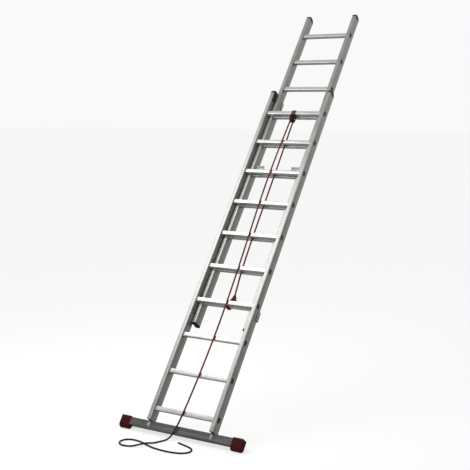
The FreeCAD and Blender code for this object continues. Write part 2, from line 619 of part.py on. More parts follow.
def rope_tube(label, route, radius):
    """A round tube along straight runs joined by tangent arcs, and the arcs' radii."""
    corners = []
    for before, point, after in zip(route, route[1:], route[2:]):
        into, out = point - before, after - point
        turn = into.getAngle(out)
        bend = 0.45 * min(into.Length, out.Length) / math.tan(turn / 2)
        trim = bend * math.tan(turn / 2)
        into.normalize()
        out.normalize()
        start, end = point - into * trim, point + out * trim
        inward = (out - into).normalize()
        middle = point + inward * (bend / math.cos(turn / 2) - bend)
        corners.append((start, middle, end, bend))
    edges, at = [], route[0]
    for start, middle, end, bend in corners:
        edges += [Part.LineSegment(at, start).toShape(), Part.Arc(start, middle, end).toShape()]
        at = end
    edges.append(Part.LineSegment(at, route[-1]).toShape())
    path = Part.Wire(edges)
    circle = Part.Wire([Part.makeCircle(radius, route[0], route[1] - route[0])])
    tube = path.makePipeShell([circle], True, False, 2)
    feature = doc.addObject("Part::Feature", label)
    feature.Shape = tube if isinstance(tube, Part.Solid) else Part.Solid(tube)
    feature.Label = label
    parts.append(feature)
    expected = math.pi * radius ** 2 * path.Length
    print(f"{label}: length {path.Length:.0f} mm, volume {feature.Shape.Volume / expected:.4f} of"
          f" section x length, least radius {min(c[3] for c in corners):.0f} mm")
    print("  radii", [round(c[3]) for c in corners])


# the hand line: over the sheave, down the climber's side, over the bar and onto the floor
BEND = size("rope_bend_radius")
FRONT_Y = SHEAVE_Y - BEND
BACK_Y = SHEAVE_Y + BEND
CORNER = BEND / math.cos(math.pi / 8)
OVER_SHEAVE = [upright(0, SHEAVE_Y + CORNER * math.cos(math.radians(angle)),
                       SHEAVE_Z + CORNER * math.sin(math.radians(angle)))
               for angle in (22.5, 67.5, 112.5, 157.5)]
HAND_HANG = [upright(x, depth, height) for x, depth, height in (
    (-4, 5.8, 2440), (-9, 5.8, 2300), (-12, 5.8, 2130), (-12, 5.7, 1950), (-7, 5.8, 1760),
    (0, 5.8, 1580), (8, 5.8, 1400), (14, 5.7, 1220), (19, 5.8, 1040), (22, 5.7, 870),
    (21.5, 5.8, 700), (18, 5.8, 540), (13, 5.7, 400), (7, 5.8, 280), (2, 5.0, 180),
    (-5, 5.5, 105), (-15, 12, 45), (-27, 19, 2))]
FLOOR_Z = ROPE_R
FLOOR_LINE = [V(x, y - size("frame_back"), z) for x, y, z in (
    (-41, -11, 26), (-58, -38, FLOOR_Z + 0.3), (-78, -82, FLOOR_Z), (-100, -135, FLOOR_Z + 2),
    (-119, -178, FLOOR_Z + 14), (-148, -216, FLOOR_Z + 11), (-190, -246, FLOOR_Z + 0.5),
    (-240, -262, FLOOR_Z), (-285, -251, FLOOR_Z), (-311, -212, FLOOR_Z), (-302, -166, FLOOR_Z),
    (-262, -144, FLOOR_Z), (-212, -145, FLOOR_Z), (-164, -158, FLOOR_Z), (-117, -178, FLOOR_Z),
    (-66, -197, FLOOR_Z), (-8, -206, FLOOR_Z), (52, -209, FLOOR_Z), (112, -203, FLOOR_Z),
    (164, -184, FLOOR_Z), (193, -146, FLOOR_Z), (182, -103, FLOOR_Z), (145, -78, FLOOR_Z),
    (99, -64, FLOOR_Z), (58, -51, FLOOR_Z))]
START = upright(0, BACK_Y, SHEAVE_Z - 12)
HAND_ROUTE = [START] + OVER_SHEAVE + [upright(-1, FRONT_Y, 2540)] + HAND_HANG + FLOOR_LINE
rope_tube("hand_rope", HAND_ROUTE, ROPE_R)

# the hauling line: down between the two sections to the knot on the lowest fly rung
KNOT_X, KNOT_TOP = 38.0, 1036.0
HAUL_ROUTE = [START] + [upright(x, depth, height) for x, depth, height in (
    (0, 49.5, 2530), (1.5, 49.5, 2410), (4.5, 49.5, 2240), (7.0, 49.5, 2050), (9.0, 49.5, 1860),
    (10.5, 49.5, 1680), (13.0, 49.5, 1500), (17.0, 49.5, 1340), (23.5, 49.5, 1200),
    (KNOT_X - 6, 49.5, 1110), (KNOT_X, 50.0, KNOT_TOP))]
rope_tube("fly_rope", HAUL_ROUTE, ROPE_R)

FLY_LOW_RUNG_Z = rung_heights(FLY_RISE)[0]
LOOP_GAP, LOOP_THICK, LOOP_HALF = 0.4, 11.0, 17.0
loop_reach = LOOP_GAP + LOOP_THICK
loop_outer = box("knot_loop_outer",
                 (KNOT_X - LOOP_HALF, FLY_RUNG_FRONT - loop_reach,
                  FLY_LOW_RUNG_Z - half_rung - loop_reach),
                 (2 * LOOP_HALF, size("rung_depth") + 2 * loop_reach,
                  size("rung_height") + 2 * loop_reach))
loop_soft = rounded("knot_loop_soft", loop_outer, 10.0, runs_along(X_AXIS))
loop_window = box("knot_loop_window",
                  (KNOT_X - LOOP_HALF - 1, FLY_RUNG_FRONT - LOOP_GAP,
                   FLY_LOW_RUNG_Z - half_rung - LOOP_GAP),
                  (2 * LOOP_HALF + 2, size("rung_depth") + 2 * LOOP_GAP,
                   size("rung_height") + 2 * LOOP_GAP))
knot_loop = cut("knot_loop", loop_soft, loop_window)
knot_low = FLY_LOW_RUNG_Z + half_rung + LOOP_GAP + 4
knot_block = box("knot_block", (KNOT_X - LOOP_HALF, 44.0, knot_low),
                 (2 * LOOP_HALF, 24, KNOT_TOP - knot_low))
knot_round = rounded("knot_round", knot_block, 8.0, runs_along(Z_AXIS))
sub_part(fuse("knot_fused", knot_loop, knot_round), "rope_knot")

tip, before_tip = HAND_ROUTE[-1], HAND_ROUTE[-2]
tip_way = (tip - before_tip).normalize()
sleeve = doc.addObject("Part::Feature", "rope_end_sleeve")
sleeve.Shape = Part.makeCylinder(ROPE_R, 24, tip, tip_way)
sleeve.Label = "rope_end_sleeve"
parts.append(sleeve)

# ---------------------------------------------------------------- check and write
doc.recompute()
for feature in doc.Objects:
    bad = {"Invalid", "Error"} & set(feature.State)
    if bad:
        raise RuntimeError(f"{feature.Label} is {bad}")
for feature in parts:
    if feature.Shape.isNull() or not feature.Shape.isValid() or not feature.Shape.Solids:
        raise RuntimeError(f"{feature.Label} has no valid solid")

os.makedirs("parts", exist_ok=True)
whole = FreeCAD.BoundBox()
for feature in parts:
    feature.Shape.exportStep(os.path.join("parts", feature.Label + ".step"))
    if feature.Label not in ("hand_rope", "fly_rope", "rope_end_sleeve", "rope_knot"):
        whole.add(feature.Shape.optimalBoundingBox())
print(f"{len(parts)} sub-parts, box without the rope"
      f" x {whole.XMin:.1f} {whole.XMax:.1f} y {whole.YMin:.1f} {whole.YMax:.1f}"
      f" z {whole.ZMin:.1f} {whole.ZMax:.1f}")
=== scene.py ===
"""Finishes the leaning two-section extension ladder: metal, mouldings, rope, hooks and light.

Every shape is drawn in the ladder's own upright axes (across, depth, along) and then leaned
with the ladder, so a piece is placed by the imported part's own boxes.  Lengths are in metres.
"""

import functools
import json
import logging
import math
from collections.abc import Sequence
from dataclasses import dataclass, field
from enum import Enum

import bmesh
import bpy
from mathutils import Matrix, Vector


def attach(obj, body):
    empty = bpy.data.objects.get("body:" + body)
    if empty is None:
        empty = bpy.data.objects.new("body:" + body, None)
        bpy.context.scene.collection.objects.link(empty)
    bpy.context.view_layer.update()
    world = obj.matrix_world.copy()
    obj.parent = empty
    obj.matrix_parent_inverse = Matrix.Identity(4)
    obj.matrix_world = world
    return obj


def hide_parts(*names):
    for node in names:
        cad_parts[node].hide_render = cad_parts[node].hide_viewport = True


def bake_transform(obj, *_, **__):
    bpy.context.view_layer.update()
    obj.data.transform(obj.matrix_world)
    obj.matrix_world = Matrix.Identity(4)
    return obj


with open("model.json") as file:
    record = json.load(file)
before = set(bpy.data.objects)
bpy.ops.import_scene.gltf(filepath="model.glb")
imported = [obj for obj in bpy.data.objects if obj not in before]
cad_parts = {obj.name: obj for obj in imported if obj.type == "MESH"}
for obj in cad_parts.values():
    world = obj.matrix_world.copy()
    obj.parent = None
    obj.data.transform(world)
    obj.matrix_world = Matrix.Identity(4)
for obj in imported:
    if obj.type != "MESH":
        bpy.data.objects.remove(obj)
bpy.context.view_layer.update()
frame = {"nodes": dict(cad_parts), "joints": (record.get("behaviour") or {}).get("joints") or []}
LOG = logging.getLogger("ladder")
SIDES = (("left", -1), ("right", 1))
TAU = 2 * math.pi


# ------------------------------------------------------------------------------- the lean
@dataclass(frozen=True)
class Lean:
    """The ladder's upright axes inside the row frame.

    Attributes:
        origin: where the upright axes start.
        depth: from the climber towards the wall.
        along: up the stiles.
        across: along the rungs.
        stile_start: how far up the axes the base stiles begin.
    """

    origin: Vector
    depth: Vector
    along: Vector
    across: Vector = field(default_factory=lambda: Vector((1, 0, 0)))
    stile_start: float = 0.033

    @classmethod
    def of_the_part(cls) -> "Lean":
        """The lean read from the slide's axis and the left base stile.

        Returns:
            The axes, with depth 0 on the base stiles' front face.
        """
        slide = next(j for j in frame["joints"] if j["name"] == "fly_slide")
        along = Vector(slide["axis"]).normalized()
        depth = along.cross(Vector((1, 0, 0)))
        points = [v.co for v in frame["nodes"]["base_stile_left"].data.vertices]
        front = min(p.dot(depth) for p in points)
        foot = min(p.dot(along) for p in points)
        return cls(depth * front + along * (foot - cls.stile_start), depth, along)

    @property
    def matrix(self) -> Matrix:
        """From upright axes to the row frame."""
        turn = Matrix((self.across, self.depth, self.along)).transposed().to_4x4()
        return Matrix.Translation(self.origin) @ turn

    def point(self, across: float, depth: float, along: float) -> Vector:
        """A place in upright axes, in the row frame."""
        return self.matrix @ Vector((across, depth, along))

    def box(self, node: str) -> tuple[Vector, Vector]:
        """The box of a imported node, in upright axes.

        Args:
            node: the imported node's name.

        Returns:
            Its lowest and highest corners.
        """
        back = self.matrix.inverted()
        points = [back @ v.co for v in frame["nodes"][node].data.vertices]
        low = Vector([min(p[i] for p in points) for i in range(3)])
        high = Vector([max(p[i] for p in points) for i in range(3)])
        return low, high


LEAN = Lean.of_the_part()


# ------------------------------------------------------------------------------- finishes
class Grain(Enum):
    """Which way a finish's fine marks run, as stretches of its noise."""

    ALONG = (55.0, 55.0, 1.3)
    ACROSS = (1.3, 55.0, 55.0)
    EVEN = (30.0, 30.0, 30.0)


@dataclass(frozen=True)
class Finish:
    """One surface finish, made of noise-driven colour, roughness and relief.

    Attributes:
        name: the material's name.
        slot: the record's material slot; not used.
        colour: the main colour.
        second: the colour that it drifts to.
        metal: how metallic it is.
        rough: the middle of its roughness.
        spread: how far the roughness varies.
        grain: which way its marks run.
        fineness: how fine the marks are.
        relief: depth of the marks, in metres.
        wear: how much lighter its edges are.
        hollow_shade: how much painted shade darkens its hollows.
        sheen: soft reflection of cloth.
        shine: strength of its mirror-like reflection.
        near_floor_share: share of its colour that is left at the floor, rising to all of it 0.3 m
            up.
    """

    name: str
    slot: str
    colour: tuple[float, float, float]
    second: tuple[float, float, float]
    metal: float = 0.0
    rough: float = 0.5
    spread: float = 0.12
    grain: Grain = Grain.EVEN
    fineness: float = 6.0
    relief: float = 0.0002
    wear: float = 0.3
    hollow_shade: float = 0.25
    sheen: float = 0.0
    shine: float = 0.5
    near_floor_share: float = 1.0

    @functools.cache
    def material(self) -> bpy.types.Material:
        """The finish as a material, made once.

        Returns:
            The node material of this finish.
        """
        made = bpy.data.materials.new(self.name)
        made.use_nodes = True
        tree = made.node_tree
        shader = tree.nodes["Principled BSDF"]
        shader.inputs["Metallic"].default_value = self.metal
        shader.inputs["Specular IOR Level"].default_value = self.shine
        if self.sheen:
            shader.inputs["Sheen Weight"].default_value = self.sheen
        place = self._place(tree)
        marks = self._noise(tree, place, self.fineness, 8.0)
        clouds = self._noise(tree, place, 0.35, 3.0, even=True)
        drift = self._mix(tree, clouds, self.colour, self.second)
        streaked = self._blend(tree, "OVERLAY", drift, marks, 0.35)
        # Painted shade darkens the hollows here, next to the lighter edge wear.
        worn_and_shaded = self._edge_wear_and_hollow_shade(tree, streaked)
        if self.near_floor_share < 1:
            worn_and_shaded = self._darker_near_floor(tree, worn_and_shaded)
        tree.links.new(worn_and_shaded, shader.inputs["Base Color"])
        self._roughness(tree, marks, clouds, shader)
        bump = tree.nodes.new("ShaderNodeBump")
        bump.inputs["Strength"].default_value = 0.6
        bump.inputs["Distance"].default_value = self.relief
        tree.links.new(marks, bump.inputs["Height"])
        tree.links.new(bump.outputs["Normal"], shader.inputs["Normal"])
        return made

    def _place(self, tree: bpy.types.NodeTree) -> bpy.types.NodeSocket:
        """Object coordinates turned so that Z runs along the stiles.

        Args:
            tree: the material's nodes.

        Returns:
            The turned coordinates.
        """
        coordinates = tree.nodes.new("ShaderNodeTexCoord")
        turned = tree.nodes.new("ShaderNodeMapping")
        turned.vector_type = "POINT"
        turned.inputs["Rotation"].default_value = LEAN.matrix.inverted().to_euler()
        tree.links.new(coordinates.outputs["Object"], turned.inputs["Vector"])
        return turned.outputs["Vector"]

    def _noise(self, tree: bpy.types.NodeTree, place: bpy.types.NodeSocket, scale: float,
               detail: float, even: bool = False) -> bpy.types.NodeSocket:
        """Noise over the surface.

        Args:
            tree: the material's nodes.
            place: the coordinates to read.
            scale: how fine it is.
            detail: how many octaves it has.
            even: True for the same scale every way.

        Returns:
            The noise's value.
        """
        stretch = tree.nodes.new("ShaderNodeMapping")
        stretch.inputs["Scale"].default_value = Grain.EVEN.value if even else self.grain.value
        noise = tree.nodes.new("ShaderNodeTexNoise")
        noise.inputs["Scale"].default_value = scale
        noise.inputs["Detail"].default_value = detail
        noise.inputs["Roughness"].default_value = 0.62
        tree.links.new(place, stretch.inputs["Vector"])
        tree.links.new(stretch.outputs["Vector"], noise.inputs["Vector"])
        return noise.outputs["Fac"]

    def _mix(self, tree: bpy.types.NodeTree, factor: bpy.types.NodeSocket,
             first: Sequence[float], second: Sequence[float]) -> bpy.types.NodeSocket:
        """A two-colour ramp driven by noise.

        Args:
            tree: the material's nodes.
            factor: the noise that drives it.
            first: the colour where the noise is low.
            second: the colour where it is high.

        Returns:
            The ramp's colour.
        """
        ramp = tree.nodes.new("ShaderNodeValToRGB")
        ramp.color_ramp.elements[0].position = 0.32
        ramp.color_ramp.elements[1].position = 0.68
        ramp.color_ramp.elements[0].color = (*first, 1)
        ramp.color_ramp.elements[1].color = (*second, 1)
        tree.links.new(factor, ramp.inputs["Fac"])
        return ramp.outputs["Color"]

    def _blend(self, tree: bpy.types.NodeTree, mode: str, under: bpy.types.NodeSocket,
               over: bpy.types.NodeSocket, amount: float) -> bpy.types.NodeSocket:
        """One colour laid on another by a blend mode.

        Args:
            tree: the material's nodes.
            mode: the blend mode's name.
            under: the colour below.
            over: the colour laid on it.
            amount: how much of it shows.

        Returns:
            The blended colour.
        """
        mix = tree.nodes.new("ShaderNodeMix")
        mix.data_type, mix.blend_type = "RGBA", mode
        mix.inputs["Factor"].default_value = amount
        tree.links.new(under, mix.inputs["A"])
        tree.links.new(over, mix.inputs["B"])
        return mix.outputs["Result"]

    def _edge_wear_and_hollow_shade(self, tree: bpy.types.NodeTree,
               colour: bpy.types.NodeSocket) -> bpy.types.NodeSocket:
        """Lighter worn edges, and painted shade that darkens the hollows.

        Args:
            tree: the material's nodes.
            colour: the colour so far.

        Returns:
            The colour with edge wear and painted shade in its hollows.
        """
        geometry = tree.nodes.new("ShaderNodeNewGeometry")
        ramp = tree.nodes.new("ShaderNodeValToRGB")
        # low is painted shade in the hollows; high is real edge wear.
        low, high = 0.5 - 0.5 * self.hollow_shade, 0.5 + 0.5 * self.wear
        ramp.color_ramp.elements[0].position = 0.44
        ramp.color_ramp.elements[1].position = 0.58
        ramp.color_ramp.elements[0].color = (low, low, low, 1)
        ramp.color_ramp.elements[1].color = (high, high, high, 1)
        flat = ramp.color_ramp.elements.new(0.5)
        flat.color = (0.5, 0.5, 0.5, 1)
        tree.links.new(geometry.outputs["Pointiness"], ramp.inputs["Fac"])
        return self._blend(tree, "SOFT_LIGHT", colour, ramp.outputs["Color"], 1.0)

    def _darker_near_floor(self, tree: bpy.types.NodeTree,
                colour: bpy.types.NodeSocket) -> bpy.types.NodeSocket:
        """The colour, darker where it lies on or near the floor.

        Args:
            tree: the material's nodes.
            colour: the colour before the darkening.

        Returns:
            The colour, darker towards the floor.
        """
        coordinates = tree.nodes.new("ShaderNodeTexCoord")
        parts = tree.nodes.new("ShaderNodeSeparateXYZ")
        span = tree.nodes.new("ShaderNodeMapRange")
        span.inputs["From Min"].default_value = 0.02
        span.inputs["From Max"].default_value = 0.30
        ramp = tree.nodes.new("ShaderNodeValToRGB")
        ramp.color_ramp.elements[0].color = (0.8 * self.near_floor_share, self.near_floor_share, 0.9 * self.near_floor_share, 1)
        ramp.color_ramp.elements[1].color = (1, 1, 1, 1)
        tree.links.new(coordinates.outputs["Object"], parts.inputs["Vector"])
        tree.links.new(parts.outputs["Z"], span.inputs["Value"])
        tree.links.new(span.outputs["Result"], ramp.inputs["Fac"])
        return self._blend(tree, "MULTIPLY", colour, ramp.outputs["Color"], 1.0)

    def _roughness(self, tree: bpy.types.NodeTree, marks: bpy.types.NodeSocket,
                   clouds: bpy.types.NodeSocket, shader: bpy.types.Node) -> None:
        """Roughness that follows the marks and the clouding.

        Args:
            tree: the material's nodes.
            marks: the fine noise.
            clouds: the broad noise.
            shader: the shader that takes the roughness.
        """
        both = tree.nodes.new("ShaderNodeMath")
        both.operation = "ADD"
        tree.links.new(marks, both.inputs[0])
        tree.links.new(clouds, both.inputs[1])
        span = tree.nodes.new("ShaderNodeMapRange")
        span.inputs["From Min"].default_value = 0.6
        span.inputs["From Max"].default_value = 1.4
        span.inputs["To Min"].default_value = max(0.05, self.rough - self.spread)
        span.inputs["To Max"].default_value = min(1.0, self.rough + self.spread)
        tree.links.new(both.outputs[0], span.inputs["Value"])
        tree.links.new(span.outputs["Result"], shader.inputs["Roughness"])


STILE_METAL = Finish("mill_stile", "stile_aluminium", (0.30, 0.298, 0.285), (0.37, 0.368, 0.355),
                     metal=0.85, rough=0.42, grain=Grain.ALONG, relief=0.0001)
RUNG_METAL = Finish("bright_rung", "rung_aluminium", (0.46, 0.46, 0.45), (0.57, 0.57, 0.56),
                    metal=0.85, rough=0.38, grain=Grain.ACROSS, relief=0.0001)
# Painted shade: the bar's metal is made far darker than the stiles' to stand in for the dim light
# at the ladder's foot.
SHADED_BAR_METAL = Finish("painted_shade_bar", "bar_aluminium", (0.085, 0.085, 0.083), (0.125, 0.125, 0.122),
                   metal=0.75, rough=0.48, grain=Grain.ACROSS, relief=0.0002)
BRACKET_METAL = Finish("bar_bracket_plate", "guide_aluminium", (0.20, 0.20, 0.195),
                       (0.27, 0.27, 0.26), metal=0.8, rough=0.45)
GUIDE_METAL = Finish("pressed_guide", "guide_aluminium", (0.32, 0.32, 0.315), (0.42, 0.42, 0.41),
                     metal=0.85, rough=0.4)
RIVET_METAL = Finish("rivet_heads", "rivet_aluminium", (0.5, 0.5, 0.5), (0.6, 0.6, 0.6),
                     metal=0.9, rough=0.35)
ZINC = Finish("zinc_plate", "zinc_steel", (0.45, 0.45, 0.42), (0.58, 0.56, 0.5), metal=0.95,
              rough=0.36, spread=0.16)
STRAP_STEEL = Finish("pulley_strap_steel", "pulley_steel", (0.05, 0.045, 0.043),
                     (0.085, 0.078, 0.073), metal=0.8, rough=0.42, spread=0.16)
HOOK_STEEL = Finish("hook_bracket_steel", "hook_steel", (0.48, 0.48, 0.47), (0.58, 0.58, 0.57),
                    metal=0.85, rough=0.35)
HOOK_CASTING = Finish("hook_tongue_casting", "hook_aluminium", (0.50, 0.50, 0.49),
                      (0.60, 0.60, 0.59), metal=0.8, rough=0.4, relief=0.0004)
# Its hollow_shade puts painted shade in the foot's grooves.
FOOT_RUBBER = Finish("foot_block_rubber", "red_foot_rubber", (0.034, 0.0018, 0.0026),
                     (0.060, 0.0042, 0.005), shine=0.15, rough=0.6, relief=0.0004, wear=0.5,
                     hollow_shade=0.5)
SHOE_RUBBER = Finish("black_shoe_rubber", "black_foot_rubber", (0.016, 0.007, 0.007),
                     (0.032, 0.013, 0.013), shine=0.2, rough=0.6, relief=0.0004, wear=0.5)
MAROON_CAP = Finish("maroon_cap_moulding", "maroon_cap_plastic", (0.035, 0.006, 0.008),
                    (0.05, 0.009, 0.011), shine=0.25, rough=0.45, relief=0.0002, wear=0.5)
GREY_CAP = Finish("grey_cap_moulding", "grey_cap_plastic", (0.028, 0.028, 0.03),
                  (0.05, 0.05, 0.052), shine=0.25, rough=0.45, relief=0.0002, wear=0.5)
PLUG_PLASTIC = Finish("rung_plug_moulding", "plug_plastic", (0.014, 0.012, 0.012),
                      (0.03, 0.026, 0.026), rough=0.5, relief=0.0002, wear=0.5)
NYLON = Finish("slide_pad_nylon", "slide_nylon", (0.012, 0.012, 0.012), (0.024, 0.024, 0.024),
               rough=0.45, relief=0.0002)
CHEEK_PLASTIC = Finish("pulley_cheek_moulding", "cheek_plastic", (0.014, 0.003, 0.004),
                       (0.026, 0.005, 0.006), shine=0.15, rough=0.5, relief=0.0002, wear=0.5)
SHEAVE_NYLON = Finish("sheave_wheel_nylon", "sheave_nylon", (0.02, 0.018, 0.018),
                      (0.03, 0.026, 0.025), shine=0.2, rough=0.5, relief=0.0002)
# Its hollow_shade puts painted shade between the yarns.
ROPE_YARN = Finish("maroon_rope_yarn", "maroon_rope", (0.115, 0.014, 0.017), (0.165, 0.028, 0.029),
                   rough=0.85, fineness=14.0, relief=0.0006, wear=0.2, hollow_shade=0.7, sheen=0.12,
                   shine=0.1, near_floor_share=0.30)
ROPE_TIP = Finish("whipped_rope_end", "rope_end_dark", (0.02, 0.018, 0.02), (0.05, 0.045, 0.05),
                  rough=0.6, fineness=14.0, relief=0.0004, sheen=0.2)


# ------------------------------------------------------------------------------- mesh making
def drawn_in(outline: Sequence[tuple[float, float]], middle: tuple[float, float],
             by: float) -> list[tuple[float, float]]:
    """An outline with every point drawn in towards a middle.

    Args:
        outline: the points in order.
        middle: the point that they move towards.
        by: how far each moves.

    Returns:
        The smaller outline.
    """
    points = []
    for a, b in outline:
        da, db = a - middle[0], b - middle[1]
        size = math.hypot(da, db) or 1.0
        points.append((a - da / size * by, b - db / size * by))
    return points


class Shape:
    """A mesh under construction, in the ladder's upright axes."""

    def __init__(self) -> None:
        """Start with nothing."""
        self.mesh = bmesh.new()

    def loft(self, rings: Sequence[Sequence[Vector]], ends: bool = True) -> None:
        """Join rings of equal count into a skin.

        Args:
            rings: closed rings of points, in order.
            ends: True to close the first and last ring.
        """
        rows = [[self.mesh.verts.new(p) for p in ring] for ring in rings]
        count = len(rows[0])
        for near, far in zip(rows, rows[1:]):
            for i in range(count):
                j = (i + 1) % count
                self.mesh.faces.new((near[i], near[j], far[j], far[i]))
        if ends:
            self.mesh.faces.new(list(reversed(rows[0])))
            self.mesh.faces.new(rows[-1])

    def prism(self, outline: Sequence[tuple[float, float]], axis: int, start: float,
              end: float, ease: float = 0.0, steps: int = 3) -> None:
        """Pull an outline along an axis and ease its two rims.

        Args:
            outline: points on the two other axes, in order.
            axis: 0 across, 1 depth, 2 along.
            start: where it starts on that axis.
            end: where it ends.
            ease: radius of the rims.
            steps: rings in each eased rim.
        """
        middle = (sum(p[0] for p in outline) / len(outline),
                  sum(p[1] for p in outline) / len(outline))
        near = [(start, 0.0)]
        if ease:
            turns = [math.pi / 2 * s / steps for s in range(steps + 1)]
            near = [(start + ease * (1 - math.cos(turn)), ease * (1 - math.sin(turn)))
                    for turn in turns]
        far = [(start + end - at, shrink) for at, shrink in reversed(near)]
        rings = []
        for at, shrink in near + far:
            ring = []
            for place in drawn_in(outline, middle, shrink):
                place = list(place)
                place.insert(axis, at)
                ring.append(Vector(place))
            rings.append(ring)
        self.loft(rings)

    def lathe(self, centre: Vector, axis: Vector, profile: Sequence[tuple[float, float]],
              segments: int = 32) -> None:
        """Spin a profile.

        Args:
            centre: where the profile's zero lies.
            axis: the axis of the turning.
            profile: pairs of distance along the axis and radius.
            segments: steps around.
        """
        axis = axis.normalized()
        side = axis.orthogonal().normalized()
        other = axis.cross(side)
        rings = []
        for at, radius in profile:
            rings.append([centre + axis * at + (side * math.cos(TAU * s / segments)
                                                + other * math.sin(TAU * s / segments)) * radius
                          for s in range(segments)])
        self.loft(rings)

    def piece(self, name: str, finish: Finish, body: str, nodes: Sequence[str] = (),
              smooth: float = 35.0) -> bpy.types.Object:
        """Lean the mesh, dress it and fix it to a body.

        Args:
            name: the new piece's name.
            finish: its surface.
            body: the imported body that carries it.
            nodes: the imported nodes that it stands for.
            smooth: edges flatter than this angle are shaded smooth, in degrees.

        Returns:
            The finished object.
        """
        bmesh.ops.recalc_face_normals(self.mesh, faces=self.mesh.faces[:])
        data = bpy.data.meshes.new(name)
        self.mesh.to_mesh(data)
        self.mesh.free()
        data.transform(LEAN.matrix)
        made = bpy.data.objects.new(name, data)
        bpy.context.scene.collection.objects.link(made)
        return settle(made, finish, body, nodes, smooth)


def settle(made: bpy.types.Object, finish: Finish, body: str, nodes: Sequence[str] = (),
           smooth: float = 35.0) -> bpy.types.Object:
    """Dress an object and fix it to a body.

    Args:
        made: the object, in place in the row frame.
        finish: its surface.
        body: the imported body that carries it.
        nodes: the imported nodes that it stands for.
        smooth: edges flatter than this angle are shaded smooth, in degrees.

    Returns:
        The same object.
    """
    made.data.materials.clear()
    made.data.materials.append(finish.material())
    made.data.shade_smooth()
    made.data.set_sharp_from_angle(angle=math.radians(smooth))
    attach(made, body)
    if nodes:
        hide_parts(*nodes)
    LOG.info("%s on %s, %d faces", made.name, body, len(made.data.polygons))
    return made


def eased_copy(node: str, finish: Finish, body: str, ease: float) -> bpy.types.Object:
    """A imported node's shape with its sharp edges rounded off.

    Args:
        node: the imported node.
        finish: its surface.
        body: the body that carries it.
        ease: radius of the eased edges.

    Returns:
        The new piece, which stands for the node.
    """
    mesh = bmesh.new()
    mesh.from_mesh(frame["nodes"][node].data)
    bmesh.ops.remove_doubles(mesh, verts=mesh.verts[:], dist=1e-6)
    bmesh.ops.dissolve_limit(mesh, angle_limit=math.radians(1.0), verts=mesh.verts[:],
                             edges=mesh.edges[:])
    sharp = [e for e in mesh.edges
             if len(e.link_faces) == 2 and e.calc_face_angle(0.0) > math.radians(40)]
    bmesh.ops.bevel(mesh, geom=sharp, offset=ease, segments=2, profile=0.5, affect="EDGES",
                    clamp_overlap=True)
    data = bpy.data.meshes.new(node + "_eased")
    mesh.to_mesh(data)
    mesh.free()
    made = bpy.data.objects.new(node + "_eased", data)
    bpy.context.scene.collection.objects.link(made)
    return settle(made, finish, body, (node,))


def rounded_rectangle(low: tuple[float, float], high: tuple[float, float], radius: float,
                      steps: int = 4) -> list[tuple[float, float]]:
    """The outline of a rectangle with round corners.

    Args:
        low: its lowest corner.
        high: its highest corner.
        radius: of the corners.
        steps: points in each corner, less one.

    Returns:
        The points in order.
    """
    corners = ((high[0] - radius, high[1] - radius, 0), (low[0] + radius, high[1] - radius, 90),
               (low[0] + radius, low[1] + radius, 180), (high[0] - radius, low[1] + radius, 270))
    points = []
    for a, b, start in corners:
        for step in range(steps + 1):
            angle = math.radians(start + 90 * step / steps)
            points.append((a + radius * math.cos(angle), b + radius * math.sin(angle)))
    return points


